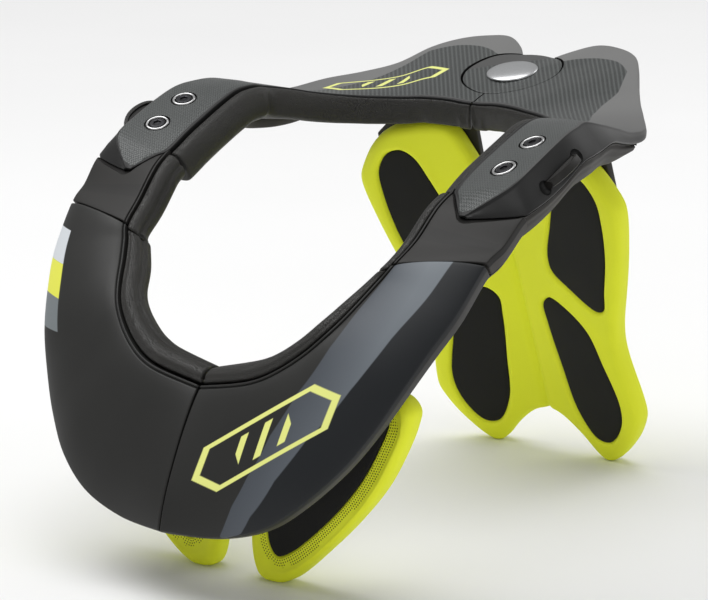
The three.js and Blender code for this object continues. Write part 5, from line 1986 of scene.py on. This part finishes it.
class BRACE_OT_arms(bpy.types.Operator):
    """Arms with their rear wings, housings and release levers"""

    bl_idname = "brace.arms"
    bl_label = "Arms and levers"

    def execute(self, context):
        right = place_pair(arm_wing(), "arm_wing", "carbon", carbon_satin())
        right.data.materials[0] = carbon_figured()
        place_pair(arm_housing(), "arm_housing", "liner", liner_plastic())
        levers = ("lever_left", "lever_right")
        place_pair(release_lever(), "release_lever", "link", lever_plastic(), bodies=levers)
        return {"FINISHED"}


class BRACE_OT_foam(bpy.types.Operator):
    """Foam collar round the neck opening, swollen under its cover by a cloth simulation"""

    bl_idname = "brace.foam"
    bl_label = "Foam collar"

    def execute(self, context):
        for maker in (foam_front, foam_side, foam_rear):
            place_pair(maker(), maker.__name__, "foam", leather())
        return {"FINISHED"}


class BRACE_OT_pads(bpy.types.Operator):
    """Back pad and chest pads with their textile inserts"""

    bl_idname = "brace.pads"
    bl_label = "Pads and inserts"

    def execute(self, context):
        pad = place_piece(back_pad(), "root", "pad", yellow_foam(), "back_pad")
        for rows, level in ((UPPER_INSERT, "upper"), (LOWER_INSERT, "lower")):
            stem = "back_insert_" + level
            left = insert_piece(stem, insert_loop(rows), back_space, BACK_PROUD)
            place_pair(left, stem, "insert", brushed_textile(), ("root", "root"))
        place_pair(chest_pad(), "chest_pad", "pad", yellow_foam())
        panel = insert_piece("chest_panel", chest_loop(PANEL), chest_space, PANEL_PROUD)
        place_pair(panel, "chest_panel", "insert", brushed_textile())
        return {"FINISHED"}


class BRACE_OT_holes(bpy.types.Operator):
    """Perforated band round the chest pads' panels"""

    bl_idname = "brace.holes"
    bl_label = "Perforations"

    def execute(self, context):
        size = sizes().hole_size
        profile = [(0, 0), (size, 0), (size * 0.8, 0.06 * MM), (0, 0.05 * MM)]
        flat = hole_places(sizes().hole_step)
        for side, sign in (("left", 1), ("right", -1)):
            points = chest_space(flat, np.full(len(flat), 0.03 * MM)) * (sign, 1, 1)
            axes = [(0, -1, 0)] * len(points)
            # Each hole is a flat dark dish: painted shade where the hole would be.
            dish = lathe("hole", profile, 8)
            made = repeated(f"chest_holes_{side}", dish, points, axes, hole_dark())
            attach(made, side + "_half")
        return {"FINISHED"}


class BRACE_OT_fasteners(bpy.types.Operator):
    """Arm screws and their bright rings"""

    bl_idname = "brace.fasteners"
    bl_label = "Screws and rings"

    def execute(self, context):
        spots = [arm_spot(*spot) for spot in SCREWS]
        for side, sign in (("left", 1), ("right", -1)):
            points = [centre * (sign, 1, 1) for centre, _ in spots]
            axes = [normal * (sign, 1, 1) for _, normal in spots]
            screws = repeated(f"arm_screws_{side}", screw_template(), points, axes, black_steel())
            rings = repeated(f"arm_rings_{side}", washer_template(), points, axes, bright_ring())
            for obj, stem, slot in ((screws, "screw", "steel"), (rings, "washer", "chrome")):
                shade(obj, 30)
                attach(obj, side + "_half")
                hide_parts(f"{stem}_front_{side}", f"{stem}_rear_{side}")
        return {"FINISHED"}


def disc_shape():
    """The seat disc about Z with a rounded edge, and the height of its middle."""
    soft, top, radius, floor = 0.5 * MM, 0.15 * MM, DISC_RADIUS, -DISC_THICK + GAP
    edge = arc((radius - soft, top - soft), soft, 0, 90)
    face = [(radius * share, top) for share in np.linspace(0.96, 0.1, 14)]
    profile = [(0, floor), (radius, floor), *edge, *face, (0, top)]
    disc = lathe("pivot_disc_look", profile, 160)
    return disc, top + follow_wings(disc, top)


def badge_shape(level):
    """The domed badge about Z, on the disc's middle."""
    radius, wall = BADGE_RADIUS, 0.5 * MM
    angles = np.linspace(0.12, math.pi / 2, 14)
    dome = [
        (radius * math.cos(a), level + wall + (BADGE_DOME - wall) * math.sin(a)) for a in angles
    ]
    foot = [(0, level + GAP / 2), (radius, level + GAP / 2), (radius, level + wall)]
    return lathe("pivot_badge_look", [*foot, *dome[:-1], (0, dome[-1][1])], 96)


class BRACE_OT_pivot(bpy.types.Operator):
    """Rear pivot: carbon disc, domed badge, and the bridge, struts and brackets"""

    bl_idname = "brace.pivot"
    bl_label = "Pivot and carriers"

    def execute(self, context):
        disc, level = disc_shape()
        badge = badge_shape(level)
        turn = Vector(PIVOT_AXIS).to_track_quat("Z", "Y").to_matrix().to_4x4()
        turn.translation = Vector(PIVOT)
        for obj in (disc, badge):
            obj.data.transform(turn)
        place_piece(disc, "root", "carbon", carbon_disc(), "pivot_disc")
        place_piece(badge, "root", "badge", badge_metal(), "pivot_badge")
        for node, body in CARRIERS.items():
            carrier = softened_copy(node, node + "_look")
            place_piece(carrier, body, "liner", liner_plastic(), node)
        return {"FINISHED"}


def wing_heights(angles, radius):
    """Heights of the wings' top over the pivot's plane, at a radius about the pivot."""
    t = np.linspace(ARM_END, FRAME_END, 400)
    inner, outer, *_ = ARMS.at(t)
    shares = np.linspace(0, 1, 60)[:, None, None]
    points = (inner + (outer - inner) * shares).reshape(-1, 3) - PIVOT
    axis = unit(PIVOT_AXIS)
    rear = np.cross(axis, (1, 0, 0))
    across, along, height = points[:, 0], points @ rear, points @ axis
    near = np.abs(np.hypot(across, along) - radius) < 1 * MM
    place = np.degrees(np.arctan2(across[near], along[near]))
    height = height[near]
    known = []
    for angle in np.arange(0, 181, 6):
        beside = np.abs(place - angle) < 4
        if beside.any():
            known.append((angle, height[beside].mean()))
    where, level = np.array(known).T
    return np.interp(np.abs(np.degrees(angles)), where, level)


def follow_wings(disc, top):
    """Lifts the disc's top until its rim lies flush with the wings; gives its middle's rise."""
    co = vertex_array(disc.data)
    turn = Vector(PIVOT_AXIS).to_track_quat("Z", "Y").to_matrix()
    local_rear = np.array(turn.inverted() @ Vector(np.cross(unit(PIVOT_AXIS), (1, 0, 0))))
    local_out = np.array(turn.inverted() @ Vector((1, 0, 0)))
    reach = np.hypot(co[:, 0], co[:, 1])
    angle = np.arctan2(co @ local_out, co @ local_rear)
    level = wing_heights(angle, DISC_RADIUS + 1 * MM)
    centre = level.mean()
    share = np.clip(reach / DISC_RADIUS, 0, 1) ** 2
    raised = co[:, 2] > top - 0.9 * MM
    co[raised, 2] += (centre + (level - centre) * share)[raised]
    disc.data.vertices.foreach_set("co", co.ravel())
    disc.data.update()
    return centre


CARRIERS = {
    "pad_bridge": "root",
    "pad_strut_left": "root",
    "pad_strut_right": "root",
    "chest_bracket_left": "left_half",
    "chest_bracket_right": "right_half",
}


def softened_copy(node, name):
    """A CAD node's shape with rounded edges, as the moulding has."""
    shape = bmesh.new()
    shape.from_mesh(frame["nodes"][node].data)
    bmesh.ops.remove_doubles(shape, verts=shape.verts, dist=1e-6)
    flat = math.radians(3)
    bmesh.ops.dissolve_limit(shape, angle_limit=flat, verts=shape.verts, edges=shape.edges)
    obj = face_out(from_bmesh(name, shape))
    bevel = obj.modifiers.new("bevel", "BEVEL")
    bevel.width = 0.8 * MM
    bevel.segments = 3
    bevel.limit_method = "ANGLE"
    bevel.angle_limit = math.radians(35)
    bpy.context.view_layer.update()
    return shade(bake_modifiers(obj), 35)


VIEW_AZIMUTH = math.radians(36.69)
VIEW_ELEVATION = math.radians(12.8)
VIEW_DISTANCE = 1.6842
VIEW_LENS = 162.7
VIEW_TARGET_ACROSS = 5.796 * MM
VIEW_TARGET_UP = -25.366 * MM
VIEW_TARGET_HEIGHT = 153 * MM
DISC_REAR = PIVOT[1] * math.cos(VIEW_AZIMUTH) + 0.0135


# Each light: its name, place, size in metres and power in watts.
STUDIO = (
    ("key", (-0.9, -0.4, 1.6), 0.9, 7),
    ("fill", (1.7, -0.9, 0.8), 0.8, 2.5),
    ("back", (0.5, 1.7, 1.3), 1.0, 4),
)


def add_light(name, kind, power, aim, place=(0, 0, 0)):
    """A light turned along its aim."""
    light = bpy.data.lights.new(name, kind)
    light.energy = power
    lamp = bpy.data.objects.new(name, light)
    lamp.location = place
    lamp.rotation_euler = Vector(aim).to_track_quat("-Z", "Y").to_euler()
    bpy.context.scene.collection.objects.link(lamp)
    return light


class BRACE_OT_stage(bpy.types.Operator):
    """Pale floor, soft studio lights and the camera at the photograph's angle"""

    bl_idname = "brace.stage"
    bl_label = "Stage"

    def execute(self, context):
        scene = bpy.context.scene
        floor = block((-6, -6, -0.02), (6, 6, -0.0003))
        floor.name = "floor"
        paper = Finish("floor paper", Roughness=0.9)
        paper.colour(paper.mix(paper.noise(3, 2), (0.83, 0.83, 0.83), (0.87, 0.87, 0.87)))
        floor.data.materials.append(paper.material)
        world = bpy.data.worlds.new("studio")
        world.use_nodes = True
        backdrop = world.node_tree.nodes["Background"].inputs
        backdrop["Color"].default_value = (1, 1, 1, 1)
        backdrop["Strength"].default_value = 0.42
        scene.world = world
        scene.view_settings.view_transform = "Standard"
        add_light("soft sun", "SUN", 1.75, (0.15, 0.12, -1)).angle = math.radians(60)
        for name, place, size, power in STUDIO:
            aim = Vector((0, 0, 120 * MM)) - Vector(place)
            add_light(name, "AREA", power, aim, place).size = size
        self.camera(scene)
        return {"FINISHED"}

    def camera(self, scene):
        lens = bpy.data.cameras.new("camera")
        lens.sensor_width = 36
        lens.lens = VIEW_LENS
        lens.clip_end = 20
        camera = bpy.data.objects.new("camera", lens)
        scene.collection.objects.link(camera)
        cos, sin = math.cos(VIEW_AZIMUTH), math.sin(VIEW_AZIMUTH)
        level = math.cos(VIEW_ELEVATION)
        forward = Vector((-sin * level, cos * level, -math.sin(VIEW_ELEVATION)))
        right = Vector((cos, sin, 0))
        up = right.cross(forward)
        target = Vector((0, NECK_Y, VIEW_TARGET_HEIGHT))
        target += right * VIEW_TARGET_ACROSS + up * VIEW_TARGET_UP
        camera.location = target - forward * VIEW_DISTANCE
        camera.rotation_euler = (math.pi / 2 - VIEW_ELEVATION, 0, VIEW_AZIMUTH)
        scene.camera = camera


OPERATORS = (
    BRACE_OT_stage,
    BRACE_OT_shells,
    BRACE_OT_arms,
    BRACE_OT_foam,
    BRACE_OT_pads,
    BRACE_OT_holes,
    BRACE_OT_fasteners,
    BRACE_OT_pivot,
)


class BRACE_PT_panel(bpy.types.Panel):
    """Lists the steps that dress the neck brace"""

    bl_label = "Neck brace"
    bl_space_type = "VIEW_3D"
    bl_region_type = "UI"
    bl_category = "Neck brace"

    def draw(self, context):
        for group in (context.scene.brace_sizes, context.scene.brace_colours):
            box = self.layout.box()
            for key in group.bl_rna.properties.keys():
                if key not in ("rna_type", "name"):
                    box.prop(group, key)
        for operator in OPERATORS:
            self.layout.operator(operator.bl_idname)


CLASSES = (BraceSizes, BraceColours, *OPERATORS, BRACE_PT_panel)


def register():
    for item in CLASSES:
        bpy.utils.register_class(item)
    bpy.types.Scene.brace_sizes = PointerProperty(type=BraceSizes)
    bpy.types.Scene.brace_colours = PointerProperty(type=BraceColours)


def unregister():
    del bpy.types.Scene.brace_sizes
    del bpy.types.Scene.brace_colours
    for item in reversed(CLASSES):
        bpy.utils.unregister_class(item)


def main():
    register()
    for step in ("stage", "shells", "arms", "foam", "pads", "holes", "fasteners", "pivot"):
        getattr(bpy.ops.brace, step)()


if __name__ == "__main__":
    main()
